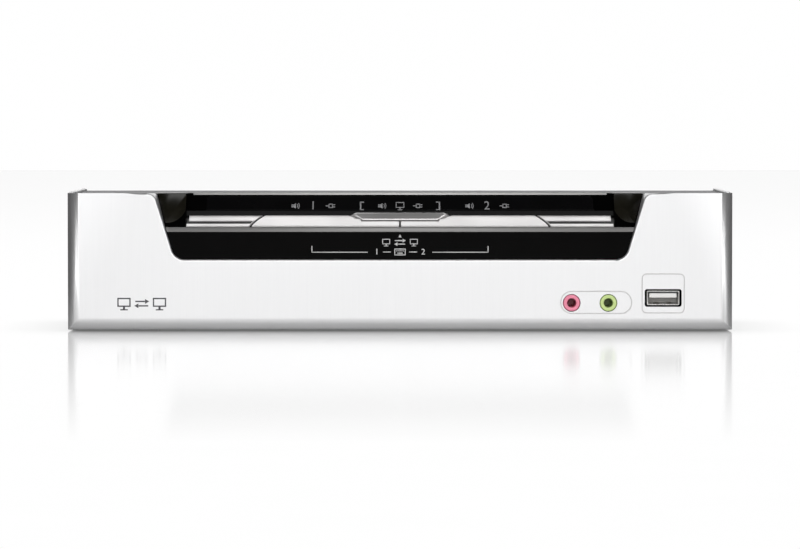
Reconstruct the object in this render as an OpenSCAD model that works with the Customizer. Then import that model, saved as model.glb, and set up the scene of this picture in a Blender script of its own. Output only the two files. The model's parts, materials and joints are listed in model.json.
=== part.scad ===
// Two-port desktop KVM switch with a sloping control deck and front audio and USB sockets.
// Origin: middle of the footprint, at the underside of the feet.
// +X is to the user's right and the front faces -Y.

/* [Case] */
// Width over the side panels
case_w = 270; // [268:1:290]
// Depth from the front face to the tips of the rear sockets
case_d = 88; // [88:1:96]
// Height from the feet to the top of the side panels
case_h = 56.5; // [56.5:0.1:57.5]
// Wall thickness of the moulded front panel
front_t = 2; // [1.8:0.1:2.2]
// Wall thickness of the side panels
side_t = 1.8; // [1.6:0.1:1.8]
// Thickness of the folded steel sheet
sheet_t = 1; // [0.8:0.1:1]
// Radius of the rounded front edges
edge_r = 5; // [4:0.5:6]
// How far the feet stand out below the base
foot_gap = 0.6; // [0.6:0.1:1]

/* [Notch] */
// Half width of the notch at its lower edge
notch_half = 91.3; // [91:0.1:92]
// Height of the notch's lower edge
notch_z = 29.35; // [29.35:0.05:29.6]
// Lean of the notch's sides from the vertical
notch_lean = 17.2; // [15:0.1:18]
// Radius of the notch's lower corners
notch_r = 5; // [4:0.5:6]
// Radius where the notch runs into the top edge
flare_r = 4; // [3:0.5:5]

/* [Control deck] */
// Slope of the key deck
deck_angle = 24; // [22:0.5:26]
// Length of the key deck along its slope
deck_len = 10.6; // [10.6:0.1:11]
// Half width of the key deck
deck_half = 87; // [87:0.5:88]
// Slope of the icon window
window_angle = 40; // [38:0.5:42]
// Half width of the icon window
window_half = 79; // [78:0.5:80]
// Radius of the icon window's upper corners
window_r = 3; // [2:0.5:4]
// Travel of the keys when pressed
key_travel = 0.6; // [0.3:0.1:0.6]
// Gap between the keys and the deck
key_gap = 0.25; // [0.2:0.05:0.3]

/* [Sockets] */
// Radius of a 3.5 mm jack's bore, with its clearance
jack_bore_r = 1.8; // [1.76:0.01:1.84]
// Height of the front jacks' axis above the table
front_jack_z = 11.7; // [11.5:0.1:12]
// Wall thickness of the metal socket shells
shell_wall = 0.4; // [0.3:0.05:0.4]

/* [Hidden] */
$fn = 48;

// Small overrun that makes a cut break through a face
eps = 0.2;
// Clearance between fixed panels
fit_gap = 0.2;

// Levels and planes of the case
half_w = case_w / 2;
front_y = -case_d / 2;
tips_y = case_d / 2;
bottom_z = foot_gap;
floor_z = bottom_z + sheet_t;
rail_z = case_h;
face_top_z = case_h - 0.3;
cover_z = case_h - 1;
wrap_y = front_y + 13;
tray_y = wrap_y + fit_gap;
rear_out_y = tips_y - 0.8;
rear_in_y = rear_out_y - sheet_t;
side_in_x = half_w - side_t;

// Circuit board
board_t = 1.6;
board_z = 6.8;
board_top = board_z + board_t;
board_half = 128;
board_front_y = front_y + 3.5;
board_rear_y = rear_in_y - 1.2;

// Band, deck, riser and window of the fascia, in Y and Z
band_y = front_y + 0.4;
band_z = notch_z + 0.25;
nose_r = 2;
nose_z = band_z + 10.9;
deck_y = band_y + nose_r * (1 - sin(deck_angle));
deck_z = nose_z + nose_r * cos(deck_angle);
riser_y = deck_y + deck_len * cos(deck_angle);
riser_z = deck_z + deck_len * sin(deck_angle);
window_y = riser_y + 0.43;
window_z = riser_z + 2.16;
window_len = 9.9;
window_v = [0.5, 9.3];
window_t = 1.5;
crest_flat = 1.1;
crest_y = window_y + window_len * cos(window_angle);
crest_z = window_z + window_len * sin(window_angle);
fascia_top = cover_z + 0.4;
fascia_back = front_y + 22.5;
shoulder_angle = 42;
fascia_wall_y = 1.8;
fascia_wall_z = 2;
fascia_end_t = 2;
fascia_clear_r = 1.3;
well_depth = 5;
flange_back = front_y + 6.2;
flange_front = flange_back - 1.6;
flange_z = notch_z - 6.85;
flange_t = 1.8;
flange_half = 80;
fascia_screw_x = [-70, -25, 25, 70];
fascia_screw_z = notch_z - 2.85;

// Keys, in deck coordinates: x across, v up the slope, w out of it
key_v0 = 0.3;
key_v1 = 10.2;
key_round_x = 25.5;
key_round_v = -12.35;
key_round_r = 37;
key_top = 0.6;
key_bottom = -2.6;
key_wall = 1.2;
key_slit = 0.3;
mode_v0 = 6.3;
mode_v1 = 10;
mode_w0 = 15.3;
mode_w1 = 20.4;
mode_crest = 1.9;
mode_crest_v = 9.2;
mode_bevel = 2.6;
mode_gap = 0.5;
mode_front_gap = 1.8;
stem_r = 1.5;
port_stem = [36, 5.2];
mode_stem = [0, 8];
port_hollow_x = [22, 50];
slit_hollow = [13, 3];
mode_hollow_half = 12;
lip_top = key_bottom - 0.1;
lip_bottom = key_bottom - 0.7;
port_lip_x = [22, 48];
mode_lip_half = 10;
trim_depth = 0.8;
trim_top = 0.5;
trim_gap = 0.8;
trim_link = 0.5;
trim_low_v = key_v0 + 2.1;
trim_low_x = 86.7;
trim_high_v = 5.2;
trim_high_x = 85.9;

// Cheeks of the front panel beside the fascia
cheek_t = 1.6;
cheek_foot_z = notch_z + 5;
cheek_knee_z = cover_z - 7;
cheek_head_z = cover_z - 3;
cheek_x = notch_half + (face_top_z - notch_z) * tan(notch_lean) + 5;

// Control board under the deck, in deck coordinates
panel_board_top = -8;
panel_board_bottom = panel_board_top - board_t;
panel_board_v = [1, 19.6];
panel_board_half = 80;
plunger_top = -3.8;
plunger_bottom = -5.7;
plunger_r = 1.7;
switch_top = -4.5;
switch_half = 3;
boss_r = 2;
boss_pilot_r = 0.9;
panel_screws = [[-74, 3.2, -2], [74, 3.2, -2], [-74, 15.5, 0.65], [74, 15.5, 0.65]];
icon_v = 14.17;
icon_x = [-42.7, -35.5, -28.1, -7.35, 0, 7.35, 28.1, 35.5, 42.7];
guide_half = [1.7, 1.05];
guide_hole = [2, 1.3];
guide_w = [-6.9, 0.45];
guide_web_w = [-3, -2];
guide_web_half = 48;
guide_leg = 2;
led_half = [1.6, 0.8];
led_h = 0.8;

// Front sockets
microphone_x = 69.6;
speaker_x = 84.5;
usb_x = 106.7;
usb_z = 13.7;
usb_w = 13.2;
usb_h = 5.8;
usb_front_y = front_y + 0.6;
usb_back_y = front_y + 14;
usb_base_half = 6;
usb_base_y = front_y + 4;
usb_opening = [15, 7.2];
usb_opening_r = 1;
tongue_half = 5.55;
tongue_t = 1.85;
front_jack_tip = front_y + 0.1;
jack_hole_r = 3.6;
groove_w = 0.4;
groove_depth = 0.35;
// Engraved outlines round the sockets: middle across and up, width, height and corner radius
jack_groove = [microphone_x + 9.95, 11.9, 29.2, 9.4, 4.6];
usb_groove = [usb_x, 15.55, 17.5, 16.2, 2];
// 3.5 mm jacks: nose = [radius, length], body = [width, length], mouth = [radius, depth]
front_nose = [3.3, 2.1];
front_body = [10, 14.3];
front_mouth = [2.1, 0.4];
front_bore = 15;
rear_nose = [3.6, 2.6];
rear_body = [11, 14.4];
rear_mouth = [2.1, 0.5];
rear_bore = 14.5;

// Rear sockets, from the power jack to the first computer's audio jacks
power_x = 121;
firmware_x = 104;
audio_x = [86, -40, -108];
console_hdmi_x = 66;
port_hdmi_x = [-4, -72];
usb_b_x = [-24, -92];
usb_stack_x = 45;
usb_single_x = 26;
speaker_z = board_top + 4.3;
microphone_z = speaker_z + 12.5;
audio_split_z = (speaker_z + microphone_z) / 2;
audio_top_z = microphone_z + 6.3;
hdmi_z = board_top + 2.8;
usb_b_z = board_top + 5.5;
usb_b_half = [6, 5.5];
usb_a_w = 13.8;
usb_low_z = board_top + 4.1;
usb_high_z = board_top + 11.9;
usb_stack_h = 16;
usb_single_h = 8.2;
socket_tip = tips_y - 0.1;
socket_back = tips_y - 13.5;
power_z = board_top + 5.5;
power_half = [4.5, 5.5];
power_back = tips_y - 14;
power_bore_r = 3;
power_bore_end = tips_y - 9.5;
power_pin_r = 1;

// Fasteners, feet and board supports
foot_r = 6;
foot_well = 1.4;
foot_places = [for (x = [-105, 105], y = [front_y + 22, tips_y - 10]) [x, y]];
lug_x = [-90, -30, 30, 90];
lug_y = front_y + 18;
lug_half = 4;
lug_t = 2;
lug_hole_r = 1.3;
fascia_boss_r = 3;
fascia_pilot_r = 1.05;
fascia_pilot_y = front_y + 2.4;
rear_clear_r = 1.7;
rear_pilot_r = 1.5;
// Hems of the cover and the tray: where they run in Y, and how far they reach up or down
hem_y = [-28, 40];
hem_end = 3;
cover_hem_z = 44;
cover_lip_z = 46;
tray_hem_z = 10;
tray_lip_z = 6.2;
vent_z = [38, 45];
vent_size = [2.4, 5];
vent_r = 1.1;
slot_y = [-8, 14];
slot_half = 1.5;
standoff_places = [[-124, -26], [-124, 20], [124, -26], [124, 20], [0, -26], [10, 20]];
low_screw_x = [-125, -45, 45, 125];
low_screw_z = floor_z + 2.3;
high_screw_x = [-120, 0, 120];
high_screw_z = cover_z - 5.5;

// ---------------------------------------------------------------- helpers

function arc(centre, r, from, to, steps = 8) =
    [for (i = [0:steps]) let (a = from + (to - from) * i / steps) centre + r * [cos(a), sin(a)]];
function flipped(points) = [for (i = [len(points) - 1:-1:0]) [-points[i][0], points[i][1]]];

module block(low, high) {
    translate(low) cube(high - low);
}

// A Y-Z outline drawn out along X
module along_x(x0, x1) {
    translate([x0, 0, 0]) rotate([90, 0, 90]) linear_extrude(x1 - x0) children();
}

// An X-Z outline drawn out along Y
module along_y(y0, y1) {
    translate([0, y1, 0]) rotate([90, 0, 0]) linear_extrude(y1 - y0) children();
}

// A cylinder along Y
module rod_y(x, z, r, y0, y1) {
    translate([x, y1, z]) rotate([90, 0, 0]) cylinder(r = r, h = y1 - y0);
}

module rod_z(x, y, r, z0, z1) {
    translate([x, y, z0]) cylinder(r = r, h = z1 - z0);
}

module mirrored() {
    children();
    mirror([1, 0, 0]) children();
}

module rounded_rect(size, r) {
    square([size[0] - 2 * r, size[1]], center = true);
    square([size[0], size[1] - 2 * r], center = true);
    for (x = [-1, 1], y = [-1, 1])
        translate([x * (size[0] / 2 - r), y * (size[1] / 2 - r)]) circle(r = r);
}

// Places children in the deck's frame: x across, y up the slope, z out of it
module on_deck() {
    translate([0, deck_y, deck_z]) rotate([deck_angle, 0, 0]) children();
}

module on_window() {
    translate([0, window_y, window_z]) rotate([window_angle, 0, 0]) children();
}

// ---------------------------------------------------------------- case

// Lower corner of the notch, grown by g
function notch_side(g) = let (
    s = sin(notch_lean), c = cos(notch_lean), h = notch_half + g / c - g * tan(notch_lean))
    arc([h - (notch_r + g) * (1 - s) / c, notch_z + notch_r], notch_r + g, -90, -notch_lean);
function notch_wall_x(z) = notch_half + (z - notch_z) * tan(notch_lean);
// Upper corner, where the notch flares into the panel's top edge
function notch_flare() = let (
    reach = flare_r * (1 - sin(notch_lean)) / cos(notch_lean),
    centre = [notch_wall_x(face_top_z) + reach, face_top_z - flare_r])
    arc(centre, flare_r, 180 - notch_lean, 90);

module notch_outline() {
    flare = notch_flare();
    side = concat(notch_side(0), flare, [[flare[len(flare) - 1][0], face_top_z + eps]]);
    polygon(concat(side, flipped(side)));
}

// The fascia's front outline: the notch less a working gap, with straight sides up to its top
module fascia_outline(inset) {
    top_x = notch_wall_x(fascia_top) - inset / cos(notch_lean);
    side = concat(notch_side(-inset), [[top_x, fascia_top]]);
    polygon(concat(side, flipped(side)));
}

// Cheek behind the right side of the notch, which closes the case beside the fascia
module notch_cheek() {
    foot_x = notch_wall_x(cheek_foot_z);
    side = [[foot_x, cheek_foot_z], [foot_x + cheek_t, cheek_foot_z],
            [notch_wall_x(cheek_knee_z) + cheek_t, cheek_knee_z], [cheek_x, cheek_head_z],
            [cheek_x, cover_z + fit_gap], [notch_wall_x(cover_z), cover_z + fit_gap]];
    along_y(front_y + front_t - eps, fascia_back) difference() {
        polygon(side);
        notch_outline();
    }
}

module front_block(inset) {
    r = edge_r - inset;
    x = half_w - inset;
    y = front_y + inset;
    z = bottom_z + inset;
    top = face_top_z + 2 * inset;
    back = wrap_y + inset;
    intersection() {
        translate([0, 0, z]) linear_extrude(top - z) {
            translate([r - x, y]) square([2 * (x - r), back - y]);
            translate([-x, y + r]) square([2 * x, back - y - r]);
            for (side = [-1, 1]) translate([side * (x - r), y + r]) circle(r = r);
        }
        along_x(-x, x) {
            translate([y + r, z]) square([back - y - r, top - z]);
            translate([y, z + r]) square([r + eps, top - z - r]);
            translate([y + r, z + r]) circle(r = r);
        }
    }
}

module socket_grooves() {
    for (g = [jack_groove, usb_groove])
        along_y(front_y - eps, front_y + groove_depth) translate([g[0], g[1]]) difference() {
            rounded_rect([g[2], g[3]], g[4]);
            rounded_rect([g[2] - 2 * groove_w, g[3] - 2 * groove_w], g[4] - groove_w);
        }
}

module front_panel() {
    color("whitesmoke") difference() {
        union() {
            difference() {
                front_block(0);
                front_block(front_t);
            }
            for (x = fascia_screw_x)
                rod_y(x, fascia_screw_z, fascia_boss_r, front_y + front_t - eps, flange_front);
            for (x = lug_x)
                block([x - lug_half, wrap_y - front_t, floor_z],
                      [x + lug_half, lug_y + lug_half, floor_z + lug_t]);
            mirrored() notch_cheek();
        }
        along_y(front_y - eps, front_y + front_t + eps) notch_outline();
        for (x = fascia_screw_x)
            rod_y(x, fascia_screw_z, fascia_pilot_r, fascia_pilot_y, flange_front + eps);
        for (x = lug_x) rod_z(x, lug_y, lug_hole_r, floor_z - eps, floor_z + lug_t + eps);
        for (x = [microphone_x, speaker_x])
            rod_y(x, front_jack_z, jack_hole_r, front_y - eps, front_y + front_t + eps);
        along_y(front_y - eps, front_y + front_t + eps) translate([usb_x, usb_z])
            rounded_rect(usb_opening, usb_opening_r);
        socket_grooves();
    }
}

module side_panel() {
    color("silver") block([side_in_x, tray_y, bottom_z], [half_w, rear_out_y, rail_z]);
}

module left_side_panel() {
    mirror([1, 0, 0]) side_panel();
}

module right_side_panel() {
    side_panel();
}

module top_cover() {
    half = side_in_x - 0.4;
    front = front_y + front_t + fit_gap;
    back = rear_in_y - fit_gap;
    under = cover_z - sheet_t;
    color("dimgray") difference() {
        union() {
            block([-half, front, under], [half, back, cover_z]);
            mirrored() block([half - sheet_t, hem_y[0], cover_hem_z], [half, hem_y[1], cover_z]);
            block([-half + hem_end, back - sheet_t, cover_lip_z], [half - hem_end, back, cover_z]);
        }
        block([-cheek_x - fit_gap, front - eps, under - eps],
              [cheek_x + fit_gap, fascia_back + fit_gap, cover_z + eps]);
        for (x = high_screw_x)
            rod_y(x, high_screw_z, rear_pilot_r, back - sheet_t - eps, back + eps);
    }
}

module base_tray() {
    half = side_in_x;
    color("darkgray") difference() {
        union() {
            block([-half, tray_y, bottom_z], [half, rear_in_y, floor_z]);
            mirrored() block([half - sheet_t, hem_y[0], floor_z - eps], [half, hem_y[1], tray_hem_z]);
            block([-half + hem_end, rear_in_y - sheet_t, floor_z - eps],
                  [half - hem_end, rear_in_y, tray_lip_z]);
            for (p = foot_places) rod_z(p[0], p[1], foot_r + foot_well, bottom_z, floor_z + sheet_t);
        }
        for (p = foot_places) rod_z(p[0], p[1], foot_r + foot_well - 1, bottom_z - eps, floor_z);
        for (x = lug_x) translate([x, lug_y, bottom_z]) cylinder(r1 = 2.6, r2 = 1.6, h = sheet_t);
        for (x = low_screw_x)
            rod_y(x, low_screw_z, rear_pilot_r, rear_in_y - sheet_t - eps, rear_in_y + eps);
        mirrored() for (x = [20:8:76])
            block([x - slot_half, slot_y[0], bottom_z - eps], [x + slot_half, slot_y[1], floor_z + eps]);
    }
}

module rear_vents() {
    for (x = [-84:6:84], z = vent_z) if (abs(x) > 3 || z == vent_z[0])
        along_y(rear_in_y - eps, rear_out_y + eps) translate([x, z]) rounded_rect(vent_size, vent_r);
}

module rear_cutouts() {
    spare = [0.6, 0.6];
    for (x = audio_x, z = [speaker_z, microphone_z]) translate([x, z]) circle(r = rear_nose[0] + 0.3);
    translate([firmware_x, speaker_z]) circle(r = rear_nose[0] + 0.3);
    for (x = concat([console_hdmi_x], port_hdmi_x))
        translate([x, hdmi_z]) square([15.8, 6.4], center = true);
    for (x = usb_b_x) translate([x, usb_b_z]) square(2 * usb_b_half + spare, center = true);
    translate([usb_stack_x, board_top + usb_stack_h / 2])
        square([usb_a_w, usb_stack_h] + spare, center = true);
    translate([usb_single_x, board_top + usb_single_h / 2])
        square([usb_a_w, usb_single_h] + spare, center = true);
    translate([power_x, power_z]) square(2 * power_half + spare, center = true);
}

module rear_panel() {
    color("dimgray") difference() {
        block([-side_in_x, rear_in_y, bottom_z], [side_in_x, rear_out_y, cover_z]);
        along_y(rear_in_y - eps, rear_out_y + eps) rear_cutouts();
        for (x = low_screw_x) rod_y(x, low_screw_z, rear_clear_r, rear_in_y - eps, rear_out_y + eps);
        for (x = high_screw_x) rod_y(x, high_screw_z, rear_clear_r, rear_in_y - eps, rear_out_y + eps);
        rear_vents();
    }
}

module rubber_feet() {
    color("black") for (p = foot_places) rod_z(p[0], p[1], foot_r, 0, floor_z);
}

// ---------------------------------------------------------------- control deck

// Outline of the three keys together in the deck plane, grown by g
module key_field(g) {
    depth = key_v1 - key_v0 + 2 * g;
    reach = key_round_x + key_round_r;
    intersection() {
        union() {
            translate([-key_round_x, key_v0 - g]) square([2 * key_round_x, depth]);
            for (side = [-1, 1]) translate([side * key_round_x, key_round_v]) circle(r = key_round_r + g);
        }
        translate([-reach, key_v0 - g]) square([2 * reach, depth]);
    }
}

// Mode key's outline in the deck plane
module mode_outline() {
    side = [[mode_w0, mode_v0], [mode_w1, mode_v1]];
    polygon(concat(side, flipped(side)));
}

// Gap in the port keys round the mode key, wide in front of it
module mode_gap_outline() {
    side = [[mode_w0 + mode_gap, mode_v0 - mode_front_gap], [mode_w0 + mode_gap, mode_v0],
            [mode_w1 + mode_gap, mode_v1], [mode_w1 + mode_gap, key_v1 + eps]];
    polygon(concat(side, flipped(side)));
}

// Silver trim beyond the key's round end, on the right
module trim_outline() {
    key_end = [key_round_x, key_round_v];
    difference() {
        intersection() {
            union() {
                translate([key_round_x, key_v0]) square([trim_low_x - key_round_x, trim_low_v - key_v0]);
                translate([key_round_x, trim_high_v])
                    square([trim_high_x - key_round_x, key_v1 - trim_high_v]);
                translate(key_end) circle(r = key_round_r + trim_gap + trim_link);
            }
            translate([key_round_x, key_v0]) square([deck_half - key_round_x, key_v1 - key_v0]);
        }
        translate(key_end) circle(r = key_round_r + trim_gap);
    }
}

// Outline of the icon window, rounded above
module window_outline() {
    height = window_v[1] - window_v[0];
    translate([0, (window_v[0] + window_v[1]) / 2]) rounded_rect([2 * window_half, height], window_r);
    translate([-window_half, window_v[0]]) square([2 * window_half, height / 2]);
}

// Side outline through the keys and the icon window
module deck_profile() {
    crest = [crest_y + crest_flat, fascia_top];
    polygon(concat(
        [[band_y, band_z]],
        arc([band_y + nose_r, nose_z], nose_r, 180, 90 + deck_angle, 6),
        [[riser_y, riser_z], [window_y, window_z], [crest_y, crest_z], crest],
        [[fascia_back, fascia_top], [fascia_back, band_z]]
    ));
}

// Side outline at the two shoulders
module shoulder_profile() {
    crest = [deck_y + (fascia_top - deck_z) / tan(shoulder_angle), fascia_top];
    polygon(concat(
        [[band_y, band_z]],
        arc([band_y + nose_r, nose_z], nose_r, 180, 90 + deck_angle, 6),
        [crest, [fascia_back, fascia_top], [fascia_back, band_z]]
    ));
}

module fascia_shell() {
    reach = notch_wall_x(fascia_top);
    hollow = [0, fascia_wall_y, -fascia_wall_z];
    difference() {
        intersection() {
            union() {
                along_x(-deck_half, deck_half) deck_profile();
                mirrored() along_x(deck_half, reach) shoulder_profile();
            }
            along_y(band_y - eps, fascia_back + eps) fascia_outline(fit_gap);
        }
        intersection() {
            translate(hollow) union() {
                along_x(-deck_half - fascia_end_t, deck_half + fascia_end_t) deck_profile();
                mirrored() along_x(deck_half + fascia_end_t, reach) shoulder_profile();
            }
            along_y(band_y, fascia_back + eps) fascia_inner_outline();
        }
    }
}

// Inside of the fascia's end walls, carried down so that its underside is open
module fascia_inner_outline() {
    inset = (fit_gap + fascia_end_t) / cos(notch_lean);
    low_x = notch_wall_x(band_z) - inset;
    side = [[low_x, band_z - 5], [low_x, band_z], [notch_wall_x(fascia_top) - inset, fascia_top]];
    polygon(concat(side, flipped(side)));
}

module fascia_flange() {
    top = band_z + flange_t;
    block([-flange_half, flange_front, flange_z], [flange_half, flange_back, top]);
    block([-flange_half - 5, band_y + 1, band_z], [flange_half + 5, flange_back, top]);
}

module control_fascia() {
    color("black") difference() {
        union() {
            fascia_shell();
            fascia_flange();
            on_deck() for (p = panel_screws) rod_z(p[0], p[1], boss_r, panel_board_top, p[2]);
        }
        for (x = fascia_screw_x)
            rod_y(x, fascia_screw_z, fascia_clear_r, flange_front - eps, flange_back + eps);
        on_deck() {
            translate([0, 0, -well_depth]) linear_extrude(well_depth + 1) key_field(key_gap);
            mirrored() translate([0, 0, -trim_depth]) linear_extrude(trim_depth + 1) trim_outline();
            for (p = panel_screws) rod_z(p[0], p[1], boss_pilot_r, panel_board_top - eps, -3);
            for (x = icon_x)
                block([x - guide_hole[0], icon_v - guide_hole[1], -3],
                      [x + guide_hole[0], icon_v + guide_hole[1], 1.4]);
        }
        on_window() translate([0, 0, -window_t]) linear_extrude(window_t + 1) window_outline();
    }
}

module icon_window() {
    color([0.08, 0.08, 0.09, 0.8]) on_window() translate([0, 0, -window_t])
        linear_extrude(window_t) window_outline();
}

module key_trim() {
    color("silver") on_deck() translate([0, 0, -trim_depth])
        linear_extrude(trim_depth + trim_top) trim_outline();
}

module left_key_trim() {
    mirror([1, 0, 0]) key_trim();
}

module right_key_trim() {
    key_trim();
}

// Right-hand port key: a hollow cap with a stem over its switch and a lip under the deck's rear edge
module port_key() {
    inner_v = [key_v0 + key_wall, key_v1 - key_wall];
    roof = key_top - key_wall;
    color("silver") on_deck() {
        difference() {
            translate([0, 0, key_bottom]) linear_extrude(key_top - key_bottom) difference() {
                intersection() {
                    key_field(0);
                    translate([key_slit, 0]) square([deck_half, deck_len]);
                }
                mode_gap_outline();
            }
            block([port_hollow_x[0], inner_v[0], key_bottom - eps], [port_hollow_x[1], inner_v[1], roof]);
            block([key_slit + key_wall, inner_v[0], key_bottom - eps],
                  [slit_hollow[0], slit_hollow[1], roof]);
        }
        rod_z(port_stem[0], port_stem[1], stem_r, plunger_top, roof + eps);
        block([port_lip_x[0], key_v1 - 1, lip_bottom], [port_lip_x[1], key_v1 + 1, lip_top]);
        block([port_lip_x[0], key_v1 - 1, lip_top], [port_lip_x[1], key_v1, key_bottom]);
    }
}

module port_1_button() {
    mirror([1, 0, 0]) port_key();
}

module port_2_button() {
    port_key();
}

// Mode key: a wedge that is flush at its front edge and rises to a ridge, with sloping ends
module mode_cap() {
    ridge_half = mode_w1 - mode_bevel;
    intersection() {
        translate([0, 0, key_bottom]) linear_extrude(mode_crest - key_bottom) mode_outline();
        along_x(-mode_w1, mode_w1) polygon([
            [mode_v0, key_bottom], [mode_v1, key_bottom], [mode_v1, mode_crest],
            [mode_crest_v, mode_crest], [mode_v0, key_top]]);
        along_y(mode_v0, mode_v1) polygon([
            [-mode_w1, key_bottom], [mode_w1, key_bottom], [mode_w1, key_top],
            [ridge_half, mode_crest], [-ridge_half, mode_crest], [-mode_w1, key_top]]);
    }
}

module mode_button() {
    roof = key_top - key_wall;
    color("silver") on_deck() {
        difference() {
            mode_cap();
            block([-mode_hollow_half, mode_v0 + key_wall, key_bottom - eps],
                  [mode_hollow_half, mode_v1 - key_wall, roof]);
        }
        rod_z(mode_stem[0], mode_stem[1], stem_r, plunger_top, roof + eps);
        block([-mode_lip_half, mode_v1 - 1, lip_bottom], [mode_lip_half, key_v1 + 1, lip_top]);
        block([-mode_lip_half, mode_v1 - 1, lip_top], [mode_lip_half, mode_v1, key_bottom]);
    }
}

module switch_plunger(place) {
    color("ivory") on_deck() rod_z(place[0], place[1], plunger_r, plunger_bottom, plunger_top);
}

module port_1_switch_plunger() {
    switch_plunger([-port_stem[0], port_stem[1]]);
}

module port_2_switch_plunger() {
    switch_plunger(port_stem);
}

module mode_switch_plunger() {
    switch_plunger(mode_stem);
}

module tact_switches() {
    half = [switch_half, switch_half];
    color("dimgray") on_deck() for (p = [[-port_stem[0], port_stem[1]], mode_stem, port_stem]) difference() {
        translate([0, 0, panel_board_top]) linear_extrude(switch_top - panel_board_top)
            translate(p - half) square(2 * half);
        rod_z(p[0], p[1], plunger_r + 0.1, plunger_bottom - key_travel - eps, switch_top + eps);
    }
}

module control_board() {
    color("darkgreen") on_deck() difference() {
        block([-panel_board_half, panel_board_v[0], panel_board_bottom],
              [panel_board_half, panel_board_v[1], panel_board_top]);
        for (p = panel_screws) rod_z(p[0], p[1], 1.2, panel_board_bottom - eps, panel_board_top + eps);
    }
}

module light_guides() {
    v = [icon_v - guide_half[1], icon_v + guide_half[1]];
    x1 = guide_web_half;
    color("lightcyan") on_deck() {
        for (x = icon_x)
            block([x - guide_half[0], v[0], guide_w[0]], [x + guide_half[0], v[1], guide_w[1]]);
        block([-x1, v[0], guide_web_w[0]], [x1, v[1], guide_web_w[1]]);
        mirrored() block([x1 - guide_leg, v[0], panel_board_top], [x1, v[1], guide_web_w[1]]);
    }
}

module indicator_leds() {
    color("lemonchiffon") on_deck() for (x = icon_x)
        block([x - led_half[0], icon_v - led_half[1], panel_board_top],
              [x + led_half[0], icon_v + led_half[1], panel_board_top + led_h]);
}

module control_board_screws() {
    color("silver") on_deck() for (p = panel_screws) {
        rod_z(p[0], p[1], 1.9, panel_board_bottom - 1.2, panel_board_bottom);
        rod_z(p[0], p[1], 0.85, panel_board_bottom - eps, -3.6);
    }
}

module fascia_screws() {
    color("silver") for (x = fascia_screw_x) {
        rod_y(x, fascia_screw_z, 2.2, flange_back, flange_back + 1.4);
        rod_y(x, fascia_screw_z, 1, front_y + 2.8, flange_back + eps);
    }
}

// ---------------------------------------------------------------- boards

ribbon_x = [-38, -22];
ribbon_t = 0.3;
ribbon_low = [-12, 13.5];
ribbon_plug_v = [10, 14];
ribbon_plug_w = panel_board_bottom - 2.4;
// Middle of the upper plug's face, in Y and Z
ribbon_high = [deck_y + 12 * cos(deck_angle) - ribbon_plug_w * sin(deck_angle),
               deck_z + 12 * sin(deck_angle) + ribbon_plug_w * cos(deck_angle)];
ribbon_pull = [ribbon_high + 12 * [sin(deck_angle), -cos(deck_angle)], ribbon_low + [0, 10.5]];

function bezier(t) = pow(1 - t, 3) * ribbon_high + 3 * pow(1 - t, 2) * t * ribbon_pull[0]
    + 3 * (1 - t) * t * t * ribbon_pull[1] + t * t * t * ribbon_low;
function bezier_way(t) = let (
    first = ribbon_pull[0] - ribbon_high, middle = ribbon_pull[1] - ribbon_pull[0],
    last = ribbon_low - ribbon_pull[1],
    d = 3 * pow(1 - t, 2) * first + 6 * (1 - t) * t * middle + 3 * t * t * last) d / norm(d);
function ribbon_edge(t, side) = bezier(t) + side * ribbon_t / 2 * [-bezier_way(t)[1], bezier_way(t)[0]];

module ribbon_cable() {
    steps = 14;
    one = [for (i = [0:steps]) ribbon_edge(i / steps, 1)];
    two = [for (i = [steps:-1:0]) ribbon_edge(i / steps, -1)];
    color("gray") along_x(ribbon_x[0], ribbon_x[1]) polygon(concat(one, two));
}

module ribbon_connectors() {
    color("ivory") {
        on_deck() block([ribbon_x[0] - 2, ribbon_plug_v[0], ribbon_plug_w],
                        [ribbon_x[1] + 2, ribbon_plug_v[1], panel_board_bottom]);
        block([ribbon_x[0] - 2, ribbon_low[0] - 2, board_top],
              [ribbon_x[1] + 2, ribbon_low[0] + 2, ribbon_low[1]]);
    }
}

module main_board() {
    color("darkgreen") difference() {
        block([-board_half, board_front_y, board_z], [board_half, board_rear_y, board_top]);
        for (p = standoff_places) rod_z(p[0], p[1], 1.7, board_z - eps, board_top + eps);
    }
}

module board_standoffs() {
    color("goldenrod") for (p = standoff_places) difference() {
        translate([p[0], p[1], floor_z]) cylinder(r = 5.5 / 2 / cos(30), h = board_z - floor_z, $fn = 6);
        rod_z(p[0], p[1], 1.5, floor_z + 0.4, board_z + eps);
    }
}

module board_screws() {
    color("silver") for (p = standoff_places) {
        rod_z(p[0], p[1], 2.6, board_top, board_top + 1.8);
        rod_z(p[0], p[1], 1.45, floor_z + 0.8, board_top + eps);
    }
}

module base_screws() {
    color("silver") for (x = lug_x) translate([x, lug_y, bottom_z]) {
        cylinder(r1 = 2.5, r2 = 1.5, h = sheet_t);
        cylinder(r = 1.2, h = sheet_t + 1.8);
    }
}

module rear_screws() {
    color("silver") {
        for (x = low_screw_x) rear_screw(x, low_screw_z);
        for (x = high_screw_x) rear_screw(x, high_screw_z);
    }
}

module rear_screw(x, z) {
    rod_y(x, z, 2.6, rear_out_y, tips_y);
    rod_y(x, z, 1.45, rear_in_y - 3, rear_out_y + eps);
}

// Middle across and deep, width and height of each chip
chips = [[20, 0, 14, 1.4], [60, -12, 10, 1.2], [-62, 4, 12, 1.2], [-96, 2, 7, 1.1]];

module switch_chips() {
    color("#222222") for (chip = chips)
        block([chip[0] - chip[2] / 2, chip[1] - chip[2] / 2, board_top],
              [chip[0] + chip[2] / 2, chip[1] + chip[2] / 2, board_top + chip[3]]);
}

module heatsink() {
    base = board_top + 1.4;
    color("silver") {
        block([10, -10, base], [30, 10, base + 2]);
        for (x = [10:3:28]) block([x, -10, base + 2 - eps], [x + 1.2, 10, base + 8]);
    }
}

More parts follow.
